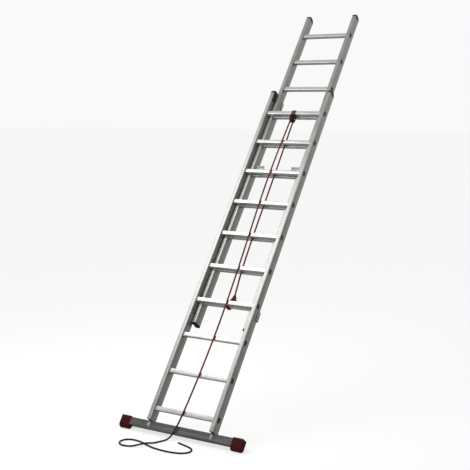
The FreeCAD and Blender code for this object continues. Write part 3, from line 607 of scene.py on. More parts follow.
# ------------------------------------------------------------------------------- stiles, rungs
@dataclass
class LadderSection:
    """One section: two fluted stiles and ten ribbed rungs with plugs.

    Attributes:
        name: "base" or "fly", which is also its body.
        flutes: grooves along each side of a stile.
        flute_depth: how deep they are.
        flute_width: how wide each is.
        corner: radius of the stile's edges.
        ribs: grip ribs on a rung's tread.
        rib_depth: how deep the grooves between them are.
        collar: how far the swaged collar stands off a rung.
        collar_width: its width along the rung.
        wall: thickness of a stile's wall.
        stile_width: width of a stile, across.
    """

    name: str
    flutes: int = 3
    flute_depth: float = 0.0009
    flute_width: float = 0.005
    corner: float = 0.004
    ribs: int = 5
    rib_depth: float = 0.0011
    collar: float = 0.0016
    collar_width: float = 0.005
    wall: float = 0.0024
    stile_width: float = 0.030

    def build(self) -> None:
        """Build and dress the whole section."""
        for side, _ in SIDES:
            self.stile(f"{self.name}_stile_{side}")
        for number in range(1, 11):
            self.rung(f"{self.name}_rung_{number:02d}")
        self.plugs()

    def stile(self, node: str) -> None:
        """A hollow stile with flutes down its two broad sides.

        Args:
            node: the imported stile.
        """
        low, high = LEAN.box(node)
        outer = self._fluted(low, high)
        inner = [(a + (self.wall if a < (low.x + high.x) / 2 else -self.wall),
                  b + (self.wall if b < (low.y + high.y) / 2 else -self.wall)) for a, b in outer]
        shape = Shape()
        rings = [[Vector((a, b, z)) for a, b in outline]
                 for outline, z in ((inner, low.z), (outer, low.z), (outer, high.z),
                                    (inner, high.z))]
        shape.loft(rings + [rings[0]], ends=False)
        bmesh.ops.remove_doubles(shape.mesh, verts=shape.mesh.verts[:], dist=1e-6)
        shape.piece(node + "_extrusion", STILE_METAL, self.name, (node,), smooth=50)

    def _fluted(self, low: Vector, high: Vector) -> list[tuple[float, float]]:
        """The outline of a stile, with flutes in the faces that point across.

        Args:
            low: the stile's lowest corner.
            high: its highest corner.

        Returns:
            The points in order.
        """
        plain = rounded_rectangle((low.x, low.y), (high.x, high.y), self.corner)
        middle = (low.y + high.y) / 2
        pitch = 2.4 * self.flute_width
        half = self.flute_width / 2
        outline = []
        for index, (a, b) in enumerate(plain):
            outline.append((a, b))
            after = plain[(index + 1) % len(plain)]
            if abs(after[1] - b) < (high.y - low.y) / 2:
                continue
            up = 1 if after[1] > b else -1
            inward = 1 if a < (low.x + high.x) / 2 else -1
            for k in range(self.flutes):
                centre = middle + up * pitch * (k - (self.flutes - 1) / 2)
                deep = a + inward * self.flute_depth
                outline += [(a, centre - up * half), (deep, centre - up * half * 0.6),
                            (deep, centre + up * half * 0.6), (a, centre + up * half)]
        return outline

    def rung(self, node: str) -> None:
        """A ribbed rung, flared where it meets the stiles.

        Args:
            node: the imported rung.
        """
        low, high = LEAN.box(node)
        plain = rounded_rectangle((low.y, low.z), (high.y, high.z), 0.005, steps=5)
        outline = self._ribbed(plain, low, high)
        inner_face = high.x - self.stile_width
        shape = Shape()
        shape.loft([[Vector((x, a, b)) for a, b in outline] for x in (low.x, high.x)])
        for sign in (-1, 1):
            self._collar(shape, plain, sign, inner_face)
        shape.piece(node + "_tread", RUNG_METAL, self.name, (node,), smooth=45)

    def _ribbed(self, plain: list[tuple[float, float]], low: Vector,
                high: Vector) -> list[tuple[float, float]]:
        """The rung's outline with grip ribs on the tread.

        Args:
            plain: the rung's outline without ribs.
            low: the rung's lowest corner.
            high: its highest corner.

        Returns:
            The points in order.
        """
        outline = []
        for index, (a, b) in enumerate(plain):
            outline.append((a, b))
            after = plain[(index + 1) % len(plain)]
            if b < high.z - 1e-5 or abs(after[0] - a) < (high.y - low.y) / 3:
                continue
            tooth = (after[0] - a) / (2 * self.ribs - 1)
            for k in range(self.ribs - 1):
                start = a + (2 * k + 1) * tooth
                outline += [(start, b), (start + 0.15 * tooth, b - self.rib_depth),
                            (start + 0.85 * tooth, b - self.rib_depth), (start + tooth, b)]
        return outline

    def _collar(self, shape: Shape, plain: list[tuple[float, float]], sign: int,
                face: float) -> None:
        """The swaged bead round a rung at a stile's inner face.

        Args:
            shape: the mesh to add to.
            plain: the rung's outline.
            sign: -1 on the left, 1 on the right.
            face: where the stile's inner face is, from the middle.
        """
        middle = (sum(p[0] for p in plain) / len(plain), sum(p[1] for p in plain) / len(plain))
        rings = []
        for step in range(7):
            angle = math.pi * step / 6
            out = self.collar * math.sin(angle)
            at = face - self.collar_width * (1 - math.cos(angle)) / 2 + 0.0005
            grown = []
            for a, b in plain:
                grown.append(Vector((sign * at, a + math.copysign(out, a - middle[0]),
                                     b + math.copysign(out, b - middle[1]))))
            rings.append(grown)
        shape.loft(rings)

    def plugs(self) -> None:
        """The moulded plugs in the rung ends, dished in the middle."""
        shape = Shape()
        for number in range(1, 11):
            low, high = LEAN.box(f"{self.name}_rung_{number:02d}")
            for sign in (-1, 1):
                face = sign * high.x
                rings = []
                for out, grow in ((-0.012, -0.004), (0.0, -0.004), (0.0, 0.0015),
                                  (0.0009, 0.0015), (0.0015, 0.0008), (0.0015, -0.004),
                                  (0.0006, -0.006)):
                    outline = rounded_rectangle((low.y - grow, low.z - grow),
                                                (high.y + grow, high.z + grow), 0.0045)
                    rings.append([Vector((face + sign * out, a, b)) for a, b in outline])
                shape.loft(rings)
        shape.piece(f"{self.name}_rung_plug_set", PLUG_PLASTIC, self.name,
                    (f"{self.name}_rung_plugs",))


# ------------------------------------------------------------------------------- mouldings
@dataclass
class Mouldings:
    """Caps on the stile tops, shoes under the fly stiles and nylon slide pads.

    Attributes:
        crown: height of a cap above its stile.
        rim: how far a moulding stands off its stile.
        skirt: depth of the rim band round the stile's end.
        ease: radius of its outer edges.
        pad: thickness of a slide pad.
    """

    crown: float = 0.030
    rim: float = 0.001
    skirt: float = 0.006
    ease: float = 0.004
    pad: float = 0.0055

    def build(self) -> None:
        """Build every moulding."""
        for side, _ in SIDES:
            self.cap(f"base_top_cap_{side}", f"base_stile_{side}", MAROON_CAP, "base")
            self.cap(f"fly_top_cap_{side}", f"fly_stile_{side}", GREY_CAP, "fly")
            self.shoe(f"fly_foot_{side}", f"fly_stile_{side}")
        self.pads()

    def cap(self, node: str, stile: str, finish: Finish, body: str) -> None:
        """An arched cap with a rim band and ribbed flanks.

        Args:
            node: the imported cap.
            stile: the stile that it closes.
            finish: its colour.
            body: the body that carries it.
        """
        low, high = LEAN.box(stile)
        front, back, foot = low.y - self.rim, high.y + self.rim, high.z
        shape = Shape()
        band = [(front, foot), (back, foot), (back, foot + self.skirt),
                (front, foot + self.skirt)]
        shape.prism(band, 0, low.x - self.rim, high.x + self.rim, ease=0.0006)
        radius = self.crown - 0.003
        arch = [(front + 0.0015, foot + 0.001), (back - 0.0015, foot + 0.001)]
        for step in range(9):
            angle = math.pi / 2 * step / 8
            arch.append((back - 0.0015 - radius * (1 - math.cos(angle)),
                         foot + self.crown - radius * (1 - math.sin(angle))))
        for step in range(8, -1, -1):
            angle = math.pi / 2 * step / 8
            arch.append((front + 0.0015 + radius * (1 - math.cos(angle)),
                         foot + self.crown - radius * (1 - math.sin(angle))))
        shape.prism(arch, 0, low.x - 0.0002, high.x + 0.0002, ease=self.ease, steps=4)
        for k in range(-2, 3):
            at = (front + back) / 2 + k * 0.011
            rib = [(at - 0.0016, foot + self.skirt), (at + 0.0016, foot + self.skirt),
                   (at + 0.0012, foot + self.crown - 0.0045),
                   (at - 0.0012, foot + self.crown - 0.0045)]
            shape.prism(rib, 0, low.x - 0.0009, high.x + 0.0009, ease=0.0006)
        shape.piece(node + "_moulding", finish, body, (node,))

    def shoe(self, node: str, stile: str) -> None:
        """A shoe with a cleated sole.

        Args:
            node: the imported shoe.
            stile: the stile that stands on it.
        """
        low, high = LEAN.box(node)
        stile_low, _ = LEAN.box(stile)
        shape = Shape()
        outline = rounded_rectangle((low.x, low.y), (high.x, high.y), 0.004)
        shape.prism(outline, 2, low.z + 0.003, stile_low.z, ease=0.0015)
        cleats = 6
        pitch = (high.y - low.y - 0.006) / cleats
        for k in range(cleats):
            start = low.y + 0.003 + k * pitch
            cleat = rounded_rectangle((low.x + 0.002, start + 0.0015),
                                      (high.x - 0.002, start + pitch - 0.0015), 0.002)
            shape.prism(cleat, 2, low.z, low.z + 0.005, ease=0.0008)
        shape.piece(node + "_shoe", SHOE_RUBBER, "fly", (node,))

    def pads(self) -> None:
        """The two slide pads between the sections."""
        low, high = LEAN.box("base_slide_pads")
        shape = Shape()
        for sign in (-1, 1):
            edges = sorted((sign * high.x, sign * (high.x - self.pad)))
            outline = rounded_rectangle((edges[0], low.y), (edges[1], high.y), 0.0012)
            shape.prism(outline, 2, low.z, high.z, ease=0.001)
        shape.piece("slide_pad_pair", NYLON, "base", ("base_slide_pads",))


# ------------------------------------------------------------------------------- stabiliser
@dataclass
class Stabiliser:
    """The wide bar with its brackets, bolts and two rubber feet.

    Attributes:
        grooves: moulded grooves round each foot.
        groove_depth: how deep they are.
        rim: height of the lip round the bar.
        bottom_radius: of the foot's lower edges.
        top_radius: of its upper edges.
        bolt_radius: of a bolt's head and of a nut, to a corner.
        head_height: height of a bolt's head.
        nut_height: height of a nut.
    """

    grooves: int = 4
    groove_depth: float = 0.0018
    rim: float = 0.003
    bottom_radius: float = 0.024
    top_radius: float = 0.006
    bolt_radius: float = 0.0073
    head_height: float = 0.0055
    nut_height: float = 0.0065

    def build(self) -> None:
        """Build the bar and all that is on it."""
        # The bar's near-black colour is painted shade.
        eased_copy("stabiliser_bar", SHADED_BAR_METAL, "base", 0.0004)
        for side, sign in SIDES:
            eased_copy(f"bar_bracket_{side}", BRACKET_METAL, "base", 0.0006)
            self.foot(f"stabiliser_foot_{side}", sign)
        self.fasteners()

    def foot(self, node: str, sign: int) -> None:
        """A chunky foot with grooves, a lip round the bar and a flat sole.

        Args:
            node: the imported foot.
            sign: -1 on the left, 1 on the right.
        """
        low, high = LEAN.box(node)
        bottom = high.z - 0.085
        outline = self._profile(low.y, high.y, bottom, high.z)
        middle = ((low.y + high.y) / 2, (high.z + bottom) / 2)
        inner, outer = (low.x, high.x) if sign > 0 else (high.x, low.x)
        length = abs(outer - inner)
        stations = [(0.0, self.rim), (0.001, self.rim * 0.4), (0.004, 0.0)]
        span = (length - 0.020) / self.grooves
        for k in range(self.grooves):
            start = 0.010 + k * span
            stations += [(start, 0.0), (start + 0.001, self.groove_depth),
                         (start + 0.0035, self.groove_depth), (start + 0.0045, 0.0)]
        for step in range(6):
            angle = math.pi / 2 * step / 5
            stations.append((length - 0.006 * (1 - math.sin(angle)),
                             0.006 * (1 - math.cos(angle))))
        stations.append((length, 0.012))
        shape = Shape()
        rings = []
        for at, shrink in stations:
            across = inner + (at if sign > 0 else -at)
            rings.append([Vector((across, a, b)) for a, b in drawn_in(outline, middle, shrink)])
        shape.loft(rings)
        made = shape.piece(node + "_block", FOOT_RUBBER, "base", (node,))
        for vertex in made.data.vertices:
            vertex.co.z = max(vertex.co.z, 0.0)

    def _profile(self, front: float, back: float, bottom: float,
                 top: float) -> list[tuple[float, float]]:
        """The foot's side outline, rounder below than above.

        Args:
            front: depth of its front.
            back: depth of its back.
            bottom: height of its lower face.
            top: height of its upper face.

        Returns:
            The points in order.
        """
        points = []
        for a, b, radius, start in ((back, top, self.top_radius, 0),
                                    (front, top, self.top_radius, 90),
                                    (front, bottom, self.bottom_radius, 180),
                                    (back, bottom, self.bottom_radius, 270)):
            centre = (a - radius if a == back else a + radius,
                      b - radius if b == top else b + radius)
            for step in range(9):
                angle = math.radians(start + 90 * step / 8)
                points.append((centre[0] + radius * math.cos(angle),
                               centre[1] + radius * math.sin(angle)))
        return points

    def fasteners(self) -> None:
        """Chamfered bolt heads with washers in front, and nuts behind."""
        heads, nuts = Shape(), Shape()
        bolt_low, bolt_high = LEAN.box("bar_bolts")
        nut_low, nut_high = LEAN.box("bar_nuts")
        across = (nut_high.x + nut_low.x) / 2 + (nut_high.x - nut_low.x) / 2 - 0.0075
        stile_front, stile_back = (c.y for c in LEAN.box("base_stile_right"))
        bracket_front = LEAN.box("bar_bracket_right")[0].y
        bar_back = LEAN.box("stabiliser_bar")[1].y
        high_z, low_z = bolt_high.z - 0.0065, bolt_low.z + 0.0065
        for sign in (-1, 1):
            for front, back, z in ((bracket_front, bar_back, low_z),
                                   (stile_front, stile_back, high_z)):
                centre = Vector((sign * across, front, z))
                self._hexagon(heads, centre, Vector((0, -1, 0)), self.bolt_radius,
                              self.head_height)
                shank = Vector((sign * across, back + 0.0086, z))
                heads.lathe(shank, Vector((0, -1, 0)),
                            ((0.0, 0.0032), (0.0008, 0.004), (0.02, 0.004)), 20)
                self._hexagon(nuts, Vector((sign * across, back, z)), Vector((0, 1, 0)),
                              self.bolt_radius, self.nut_height)
        heads.piece("bar_bolt_heads", ZINC, "base", ("bar_bolts",))
        nuts.piece("bar_nut_set", ZINC, "base", ("bar_nuts",))

    @staticmethod
    def _hexagon(shape: Shape, seat: Vector, out: Vector, radius: float, height: float) -> None:
        """A hexagon with a chamfered face, on a washer.

        Args:
            shape: the mesh to add to.
            seat: the middle of the face that it sits on.
            out: the way that it stands.
            radius: from its middle to a corner.
            height: how far it stands off its seat.
        """
        shape.lathe(seat, out, ((0.0, radius + 0.0014), (0.0012, radius + 0.0014),
                                (0.0013, radius + 0.0006)), 28)
        side, other = Vector((1, 0, 0)), Vector((0, 0, 1))
        rings = []
        for at, scale in ((0.0008, 1.0), (height - 0.0012, 1.0), (height - 0.0004, 0.93),
                          (height, 0.84)):
            rings.append([seat + out * at + (side * math.cos(TAU * k / 6)
                                             + other * math.sin(TAU * k / 6)) * radius * scale
                          for k in range(6)])
        shape.loft(rings)


# ------------------------------------------------------------------------------- guides
@dataclass
class Guides:
    """Pressed guides that hold the two sections together, and all the rivets.

    Attributes:
        ease: radius of the pressings' edges.
        dome: radius of a rivet's head.
        rise: height of its dome.
    """

    ease: float = 0.0008
    dome: float = 0.0047
    rise: float = 0.0022

    def build(self) -> None:
        """Build the guides and the rivets."""
        for side, _ in SIDES:
            eased_copy(f"base_guide_{side}", GUIDE_METAL, "base", self.ease)
            eased_copy(f"fly_guide_{side}", GUIDE_METAL, "fly", self.ease)
        self.rivets()

    def rivets(self) -> None:
        """Domed rivet heads on both pairs of guides."""
        base_low, base_high = LEAN.box("base_rivets")
        inset = self.dome + 0.0001
        shape = Shape()
        for x in (base_low.x + inset, base_high.x - inset):
            for z in (base_low.z + inset, base_high.z - inset):
                seat = Vector((x, LEAN.box("base_guide_left")[0].y + 0.003, z))
                self._dome(shape, seat, Vector((0, 1, 0)))
        shape.piece("base_rivet_heads", RIVET_METAL, "base", ("base_rivets",))
        fly_low, fly_high = LEAN.box("fly_rivets")
        shape = Shape()
        for sign in (-1, 1):
            for z in (fly_low.z + inset, fly_high.z - inset):
                seat = Vector((sign * (fly_high.x - 0.0016), (fly_low.y + fly_high.y) / 2, z))
                self._dome(shape, seat, Vector((sign, 0, 0)))
        shape.piece("fly_rivet_heads", RIVET_METAL, "fly", ("fly_rivets",))

    def _dome(self, shape: Shape, seat: Vector, out: Vector) -> None:
        """One rivet head, flat below and domed above.

        Args:
            shape: the mesh to add to.
            seat: the middle of the face that it sits on.
            out: the way that it stands.
        """
        profile = [(-0.003, self.dome * 0.5), (0.0, self.dome * 0.5), (0.0, self.dome)]
        for step in range(1, 7):
            angle = math.pi / 2 * step / 6.3
            profile.append((self.rise * math.sin(angle), self.dome * math.cos(angle)))
        shape.lathe(seat, out, profile, 24)


# ------------------------------------------------------------------------------- pulley
@dataclass
class Pulley:
    """The rope pulley strapped under the top base rung.

    Attributes:
        groove: radius of the sheave's groove.
        hub: radius of its hub.
    """

    groove: float = 0.0064
    hub: float = 0.009

    def build(self) -> None:
        """Build the block and its sheave."""
        eased_copy("pulley_strap", STRAP_STEEL, "base", 0.0004)
        for side, sign in SIDES:
            self.cheek(f"pulley_cheek_{side}", sign)
        self.sheave()
        self.axle()

    def cheek(self, node: str, sign: int) -> None:
        """A cheek with a round bottom, a raised boss and eased rims.

        Args:
            node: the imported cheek.
            sign: -1 on the left, 1 on the right.
        """
        low, high = LEAN.box(node)
        centre_y = (low.y + high.y) / 2
        radius = (high.y - low.y) / 2
        centre_z = low.z + radius
        outline = [(centre_y - radius, high.z), (centre_y - radius, centre_z)]
        for step in range(1, 24):
            angle = math.pi + math.pi * step / 24
            outline.append((centre_y + radius * math.cos(angle),
                            centre_z + radius * math.sin(angle)))
        outline += [(centre_y + radius, centre_z), (centre_y + radius, high.z)]
        shape = Shape()
        shape.prism(outline, 0, low.x, high.x, ease=0.0009)
        out = high.x if sign > 0 else low.x
        shape.lathe(Vector((out - sign * 0.001, centre_y, centre_z)), Vector((sign, 0, 0)),
                    ((0.0, 0.0125), (0.0011, 0.0125), (0.0018, 0.0115), (0.0018, 0.005)), 28)
        shape.piece(node + "_moulding", CHEEK_PLASTIC, "base", (node,))

    def sheave(self) -> None:
        """The grooved wheel, with recessed webs and a hub."""
        low, high = LEAN.box("pulley_sheave")
        centre = (low + high) / 2
        outer = (high.z - low.z) / 2
        half = (high.x - low.x) / 2
        floor = outer - 0.0105
        profile = [(-half, self.hub - 0.0045), (-half, self.hub), (-half + 0.002, self.hub + 0.001),
                   (-half + 0.002, outer - 0.0075), (-half, outer - 0.0065), (-half, outer - 0.001),
                   (-half + 0.0006, outer)]
        for step in range(9):
            angle = math.pi * step / 8
            profile.append((-self.groove * math.cos(angle),
                            floor + self.groove * (1 - math.sin(angle))))
        profile += [(-at, radius) for at, radius in reversed(profile[:7])]
        shape = Shape()
        shape.lathe(centre, Vector((1, 0, 0)), profile, 48)
        for k in range(5):
            angle = TAU * k / 5
            seat = centre + Vector((-half + 0.0012, 0.0135 * math.cos(angle),
                                    0.0135 * math.sin(angle)))
            shape.lathe(seat, Vector((1, 0, 0)), ((0.0, 0.0022), (2 * half - 0.0024, 0.0022)), 12)
        shape.piece("pulley_sheave_wheel", SHEAVE_NYLON, "sheave", ("pulley_sheave",))

    def axle(self) -> None:
        """The pulley's bolt, with a hexagon one side and a domed end the other."""
        low, high = LEAN.box("pulley_axle")
        centre = (low + high) / 2
        shape = Shape()
        shape.lathe(Vector((low.x + 0.002, centre.y, centre.z)), Vector((1, 0, 0)),
                    ((0.0, 0.004), (high.x - low.x - 0.004, 0.004)), 24)
        for sign, face in ((-1, low.x + 0.003), (1, high.x - 0.003)):
            rings = []
            for at, scale in ((0.0, 1.0), (0.0022, 1.0), (0.003, 0.86)):
                rings.append([Vector((face + sign * at,
                                      centre.y + 0.0065 * scale * math.cos(TAU * k / 6),
                                      centre.z + 0.0065 * scale * math.sin(TAU * k / 6)))
                              for k in range(6)])
            shape.loft(rings)
        shape.piece("pulley_axle_bolt", ZINC, "base", ("pulley_axle",))


# ------------------------------------------------------------------------------- hooks
@dataclass
class RungHooks:
    """The two swinging hooks that hold the raised section on a base rung.

    Attributes:
        ease: radius of the brackets' edges.
    """

    ease: float = 0.0006

    def build(self) -> None:
        """Build both hooks and their pins."""
        for side, _ in SIDES:
            eased_copy(f"hook_bracket_{side}", HOOK_STEEL, "fly", self.ease)
            eased_copy(f"hook_tongue_{side}", HOOK_CASTING, f"hook_{side}", 0.0009)
        self.pins()

    def pins(self) -> None:
        """The pins, with peened ends."""
        shape = Shape()
        for side, _ in SIDES:
            low, high = LEAN.box(f"hook_bracket_{side}")
            pin_low, pin_high = LEAN.box("hook_pins")
            centre = Vector((low.x - 0.002, (pin_low.y + pin_high.y) / 2,
                             (pin_low.z + pin_high.z) / 2))
            length = high.x - low.x + 0.004
            shape.lathe(centre, Vector((1, 0, 0)),
                        ((0.0, 0.002), (0.0006, 0.0029), (length - 0.0006, 0.0029),
                         (length, 0.002)), 20)
        shape.piece("hook_pin_pair", ZINC, "fly", ("hook_pins",))


# ------------------------------------------------------------------------------- rope
@dataclass
class Rope:
    """The hauling rope: over the sheave, down both sides of the rungs and onto the floor.

    Attributes:
        diameter: of the rope.
        plait: length of one turn of a yarn.
        yarns: yarns that turn each way.
        relief: how far a yarn stands off, as a share of the radius.
        facets: points round the rope.
        hand_length: real length of the line that is pulled; not used.
        haul_length: real length of the line that lifts; not used.
        turn_radius: from the sheave's middle to the middle of the rope on it.
        knot_across: how far to the right of the middle the knot stands.
        knot_radius: of the rope where it is pulled tight in the knot.
        knot_spread: how far each leg of the knot stands from its middle.
    """

    diameter: float = 0.012
    plait: float = 0.030
    yarns: int = 4
    relief: float = 0.13
    facets: int = 24
    hand_length: float = 3.9
    haul_length: float = 1.54
    turn_radius: float = 0.02175
    knot_across: float = 0.038
    knot_radius: float = 0.0055
    knot_spread: float = 0.026

    def build(self) -> None:
        """Build the two stretches of rope, the knot and the whipped end."""
        pulley_low, pulley_high = LEAN.box("pulley_sheave")
        centre_y = (pulley_low.y + pulley_high.y) / 2
        centre_z = (pulley_low.z + pulley_high.z) / 2
        start = LEAN.point(0, centre_y + self.turn_radius, centre_z - 0.012)
        knot = self.knot()
        haul = self.stretch("fly_rope_braid", self.haul_route(start), ("fly_rope",))
        knot_top = LEAN.box("fly_rope")[0].z
        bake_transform(haul[0], "base", "fly", start=start,
                 end=LEAN.point(self.knot_across, 0.05, knot_top))
        hand_route = self.hand_route(start, centre_y, centre_z)
        hand = self.stretch("hand_rope_braid", hand_route, ("hand_rope",))
        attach(hand[0], "base")
        tip = self.tip(hand_route)

    def haul_route(self, start: Vector) -> list[Vector]:
        """The route from the sheave down to the knot.

        Args:
            start: where the rope leaves the sheave.

        Returns:
            The route's points, in the row frame.
        """
        return [start] + [LEAN.point(*p) for p in (
            (0.0, 0.0495, 2.530), (0.0015, 0.0495, 2.410), (0.0045, 0.0495, 2.240),
            (0.0070, 0.0495, 2.050), (0.0090, 0.0495, 1.860), (0.0105, 0.0495, 1.680),
            (0.0130, 0.0495, 1.500), (0.0170, 0.0495, 1.340), (0.0235, 0.0495, 1.200),
            (0.0320, 0.0495, 1.110), (0.0380, 0.0500, 1.036))]

    def hand_route(self, start: Vector, centre_y: float, centre_z: float) -> list[Vector]:
        """The route over the sheave, down the climber's side and over the floor.

        Args:
            start: where the rope leaves the sheave.
            centre_y: depth of the sheave's middle, in upright axes.
            centre_z: its place along the stiles.

        Returns:
            The route's points, in the row frame.
        """
        corner = self.turn_radius / math.cos(math.pi / 8)
        over = [LEAN.point(0, centre_y + corner * math.cos(math.radians(angle)),
                           centre_z + corner * math.sin(math.radians(angle)))
                for angle in (22.5, 67.5, 112.5, 157.5)]
        hang = [LEAN.point(*p) for p in (
            (-0.001, 0.006, 2.540), (-0.004, 0.0058, 2.440), (-0.009, 0.0058, 2.300),
            (-0.012, 0.0058, 2.130), (-0.012, 0.0057, 1.950), (-0.007, 0.0058, 1.760),
            (0.000, 0.0058, 1.580), (0.008, 0.0058, 1.400), (0.014, 0.0057, 1.220),
            (0.019, 0.0058, 1.040), (0.022, 0.0057, 0.870), (0.0215, 0.0058, 0.700),
            (0.018, 0.0058, 0.540), (0.013, 0.0057, 0.400), (0.007, 0.0058, 0.280),
            (0.002, 0.0050, 0.180), (-0.005, 0.0055, 0.105), (-0.015, 0.012, 0.045),
            (-0.027, 0.019, 0.002))]
        floor = [Vector((x, LEAN.origin.y + y, z)) for x, y, z in (
            (-0.041, -0.011, 0.026), (-0.058, -0.038, 0.0063), (-0.078, -0.082, 0.006),
            (-0.100, -0.135, 0.008), (-0.119, -0.178, 0.020), (-0.148, -0.216, 0.017),
            (-0.190, -0.246, 0.0065), (-0.240, -0.262, 0.006), (-0.285, -0.251, 0.006),
            (-0.311, -0.212, 0.006), (-0.302, -0.166, 0.006), (-0.262, -0.144, 0.006),
            (-0.212, -0.145, 0.006), (-0.164, -0.158, 0.006), (-0.117, -0.178, 0.006),
            (-0.066, -0.197, 0.006), (-0.008, -0.206, 0.006), (0.052, -0.209, 0.006),
            (0.112, -0.203, 0.006), (0.164, -0.184, 0.006), (0.193, -0.146, 0.006),
            (0.182, -0.103, 0.006), (0.145, -0.078, 0.006), (0.099, -0.064, 0.006),
            (0.058, -0.051, 0.006))]
        return [start, *over, *hang, *floor]

    def spline(self, name: str, route: Sequence[Vector]) -> list[Vector]:
        """The smooth line of a route.

        Args:
            name: a name for the line.
            route: the rope's route, point by point.

        Returns:
            The points of its smooth spline.
        """
        curve = bpy.data.curves.new(name, "CURVE")
        curve.dimensions = "3D"
        curve.resolution_u = 48
        line = curve.splines.new("NURBS")
        line.points.add(len(route) - 1)
        for point, place in zip(line.points, route):
            point.co = (*place, 1)
        line.order_u = 3
        line.use_endpoint_u = True
        holder = bpy.data.objects.new(name, curve)
        drawn = bpy.data.meshes.new_from_object(holder)
        points = [v.co.copy() for v in drawn.vertices]
        bpy.data.objects.remove(holder)
        bpy.data.curves.remove(curve)
        bpy.data.meshes.remove(drawn)
        return points

    def stretch(self, name: str, route: Sequence[Vector],
                nodes: Sequence[str]) -> tuple[bpy.types.Object, list[Vector]]:
        """A stretch of plaited rope along a route.

        Args:
            name: the piece's name.
            route: the rope's route.
            nodes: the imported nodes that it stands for.

        Returns:
            The mesh and the smooth line that it follows.
        """
        line = self.spline(name + "_line", route)
        shape = Shape()
        self.plaited(shape, line, self.diameter / 2)
        data = bpy.data.meshes.new(name)
        bmesh.ops.recalc_face_normals(shape.mesh, faces=shape.mesh.faces[:])
        shape.mesh.to_mesh(data)
        shape.mesh.free()
        made = bpy.data.objects.new(name, data)
        bpy.context.scene.collection.objects.link(made)
        data.materials.append(ROPE_YARN.material())
        data.shade_smooth()
        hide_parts(*nodes)
        LOG.info("%s, %d faces", name, len(data.polygons))
        return made, line

    def plaited(self, shape: Shape, line: Sequence[Vector], radius: float) -> None:
        """Skin a line with crossing yarns.

        Args:
            shape: the mesh to add to.
            line: the points to follow.
            radius: of the rope.
        """
        rings, run = [], 0.0
        side = (line[1] - line[0]).orthogonal().normalized()
        for index, point in enumerate(line):
            before, after = line[max(index - 1, 0)], line[min(index + 1, len(line) - 1)]
            way = (after - before).normalized()
            side = (side - way * side.dot(way)).normalized()
            other = way.cross(side)
            if index:
                run += (point - line[index - 1]).length
            turn = TAU * run / self.plait
            ring = []
            for k in range(self.facets):
                angle = TAU * k / self.facets
                one = abs(math.sin(self.yarns * (angle + turn) / 2))
                two = abs(math.sin(self.yarns * (angle - turn) / 2))
                out = radius * (1 - self.relief * (1 - max(one, two)))
                ring.append(point + (side * math.cos(angle) + other * math.sin(angle)) * out)
            rings.append(ring)
        shape.loft(rings)

    def tip(self, route: Sequence[Vector]) -> bpy.types.Object:
        """The dark whipped end of the rope.

        Args:
            route: the rope's route, which ends at the whipping.

        Returns:
            The whipping.
        """
        back = LEAN.matrix.inverted()
        end, before = back @ route[-1], back @ route[-2]
        way = (end - before).normalized()
        profile = [(-0.001, 0.0052)]
        turns, pitch = 10, 0.0019
        for k in range(turns):
            for share, radius in ((0.0, 0.0053), (0.3, 0.0059), (0.7, 0.0059)):
                profile.append((0.0005 + (k + share) * pitch, radius))
        profile += [(0.0205, 0.0056), (0.0225, 0.0052), (0.0238, 0.003)]
        shape = Shape()
        shape.lathe(end, way, profile, 24)
        return shape.piece("rope_end_whipping", ROPE_TIP, "base", ("rope_end_sleeve",))

    def knot(self) -> bpy.types.Object:
        """The knot round the lowest fly rung: two legs looped under it and three coils.

        Returns:
            The knot.
        """
        low, high = LEAN.box("fly_rung_01")
        gap = self.knot_radius + 0.0004
        front, back = low.y - gap, high.y + gap
        under, over = low.z - gap, high.z + gap
        x = self.knot_across
        shape = Shape()
        for sign, below in ((-1, x - 0.036), (1, x - 0.0245)):
            near, wide = x + sign * 0.010, x + sign * self.knot_spread
            leg = [Vector((x, 0.0495, over + 0.062)),
                   Vector((x + sign * 0.004, 0.0500, over + 0.050)),
                   Vector((x + sign * 0.013, front + 0.002, over + 0.028)),
                   Vector((wide, front, over + 0.005)), Vector((wide, front, over - 0.006))]
            leg += [Vector((below, d, z)) for d, z in (
                (front, under + 0.010), (front + 0.004, under), (back - 0.004, under),
                (back, under + 0.008))]
            leg += [Vector((near, back, over - 0.007)), Vector((near, back - 0.005, over)),
                    Vector((near, front + 0.012, over + 0.006)),
                    Vector((near, front + 0.003, over + 0.018))]
            self.plaited(shape, self.spline("knot_leg", leg), self.knot_radius)
        for rise, wide, lean in ((0.018, 0.0165, 1), (0.029, 0.0130, -1), (0.040, 0.0090, 1)):
            coil = []
            for step in range(9):
                angle = TAU * step / 8
                coil.append(Vector((x + wide * math.cos(angle),
                                    front + 0.004 + 0.008 * math.sin(angle),
                                    over + rise + lean * 0.003 * math.cos(angle))))
            self.plaited(shape, self.spline("knot_coil", coil), self.knot_radius)
        return shape.piece("rope_hitch", ROPE_YARN, "fly", ("rope_knot",), smooth=80)


# ------------------------------------------------------------------------------- stage
@dataclass(frozen=True)
class Lamp:
    """One soft square lamp.

    Attributes:
        name: what it is called.
        place: where it stands.
        aim: the point that it is turned to.
        power: in watts.
        width: of its face.
    """

    name: str
    place: tuple[float, float, float]
    aim: tuple[float, float, float]
    power: float
    width: float

    def build(self) -> None:
        """Put the lamp in its place."""
        data = bpy.data.lights.new(self.name, "AREA")
        data.energy, data.size = self.power, self.width
        made = bpy.data.objects.new(self.name, data)
        place = Vector(self.place)
        made.location = place
        made.rotation_euler = (Vector(self.aim) - place).to_track_quat("-Z", "Y").to_euler()
        bpy.context.scene.collection.objects.link(made)


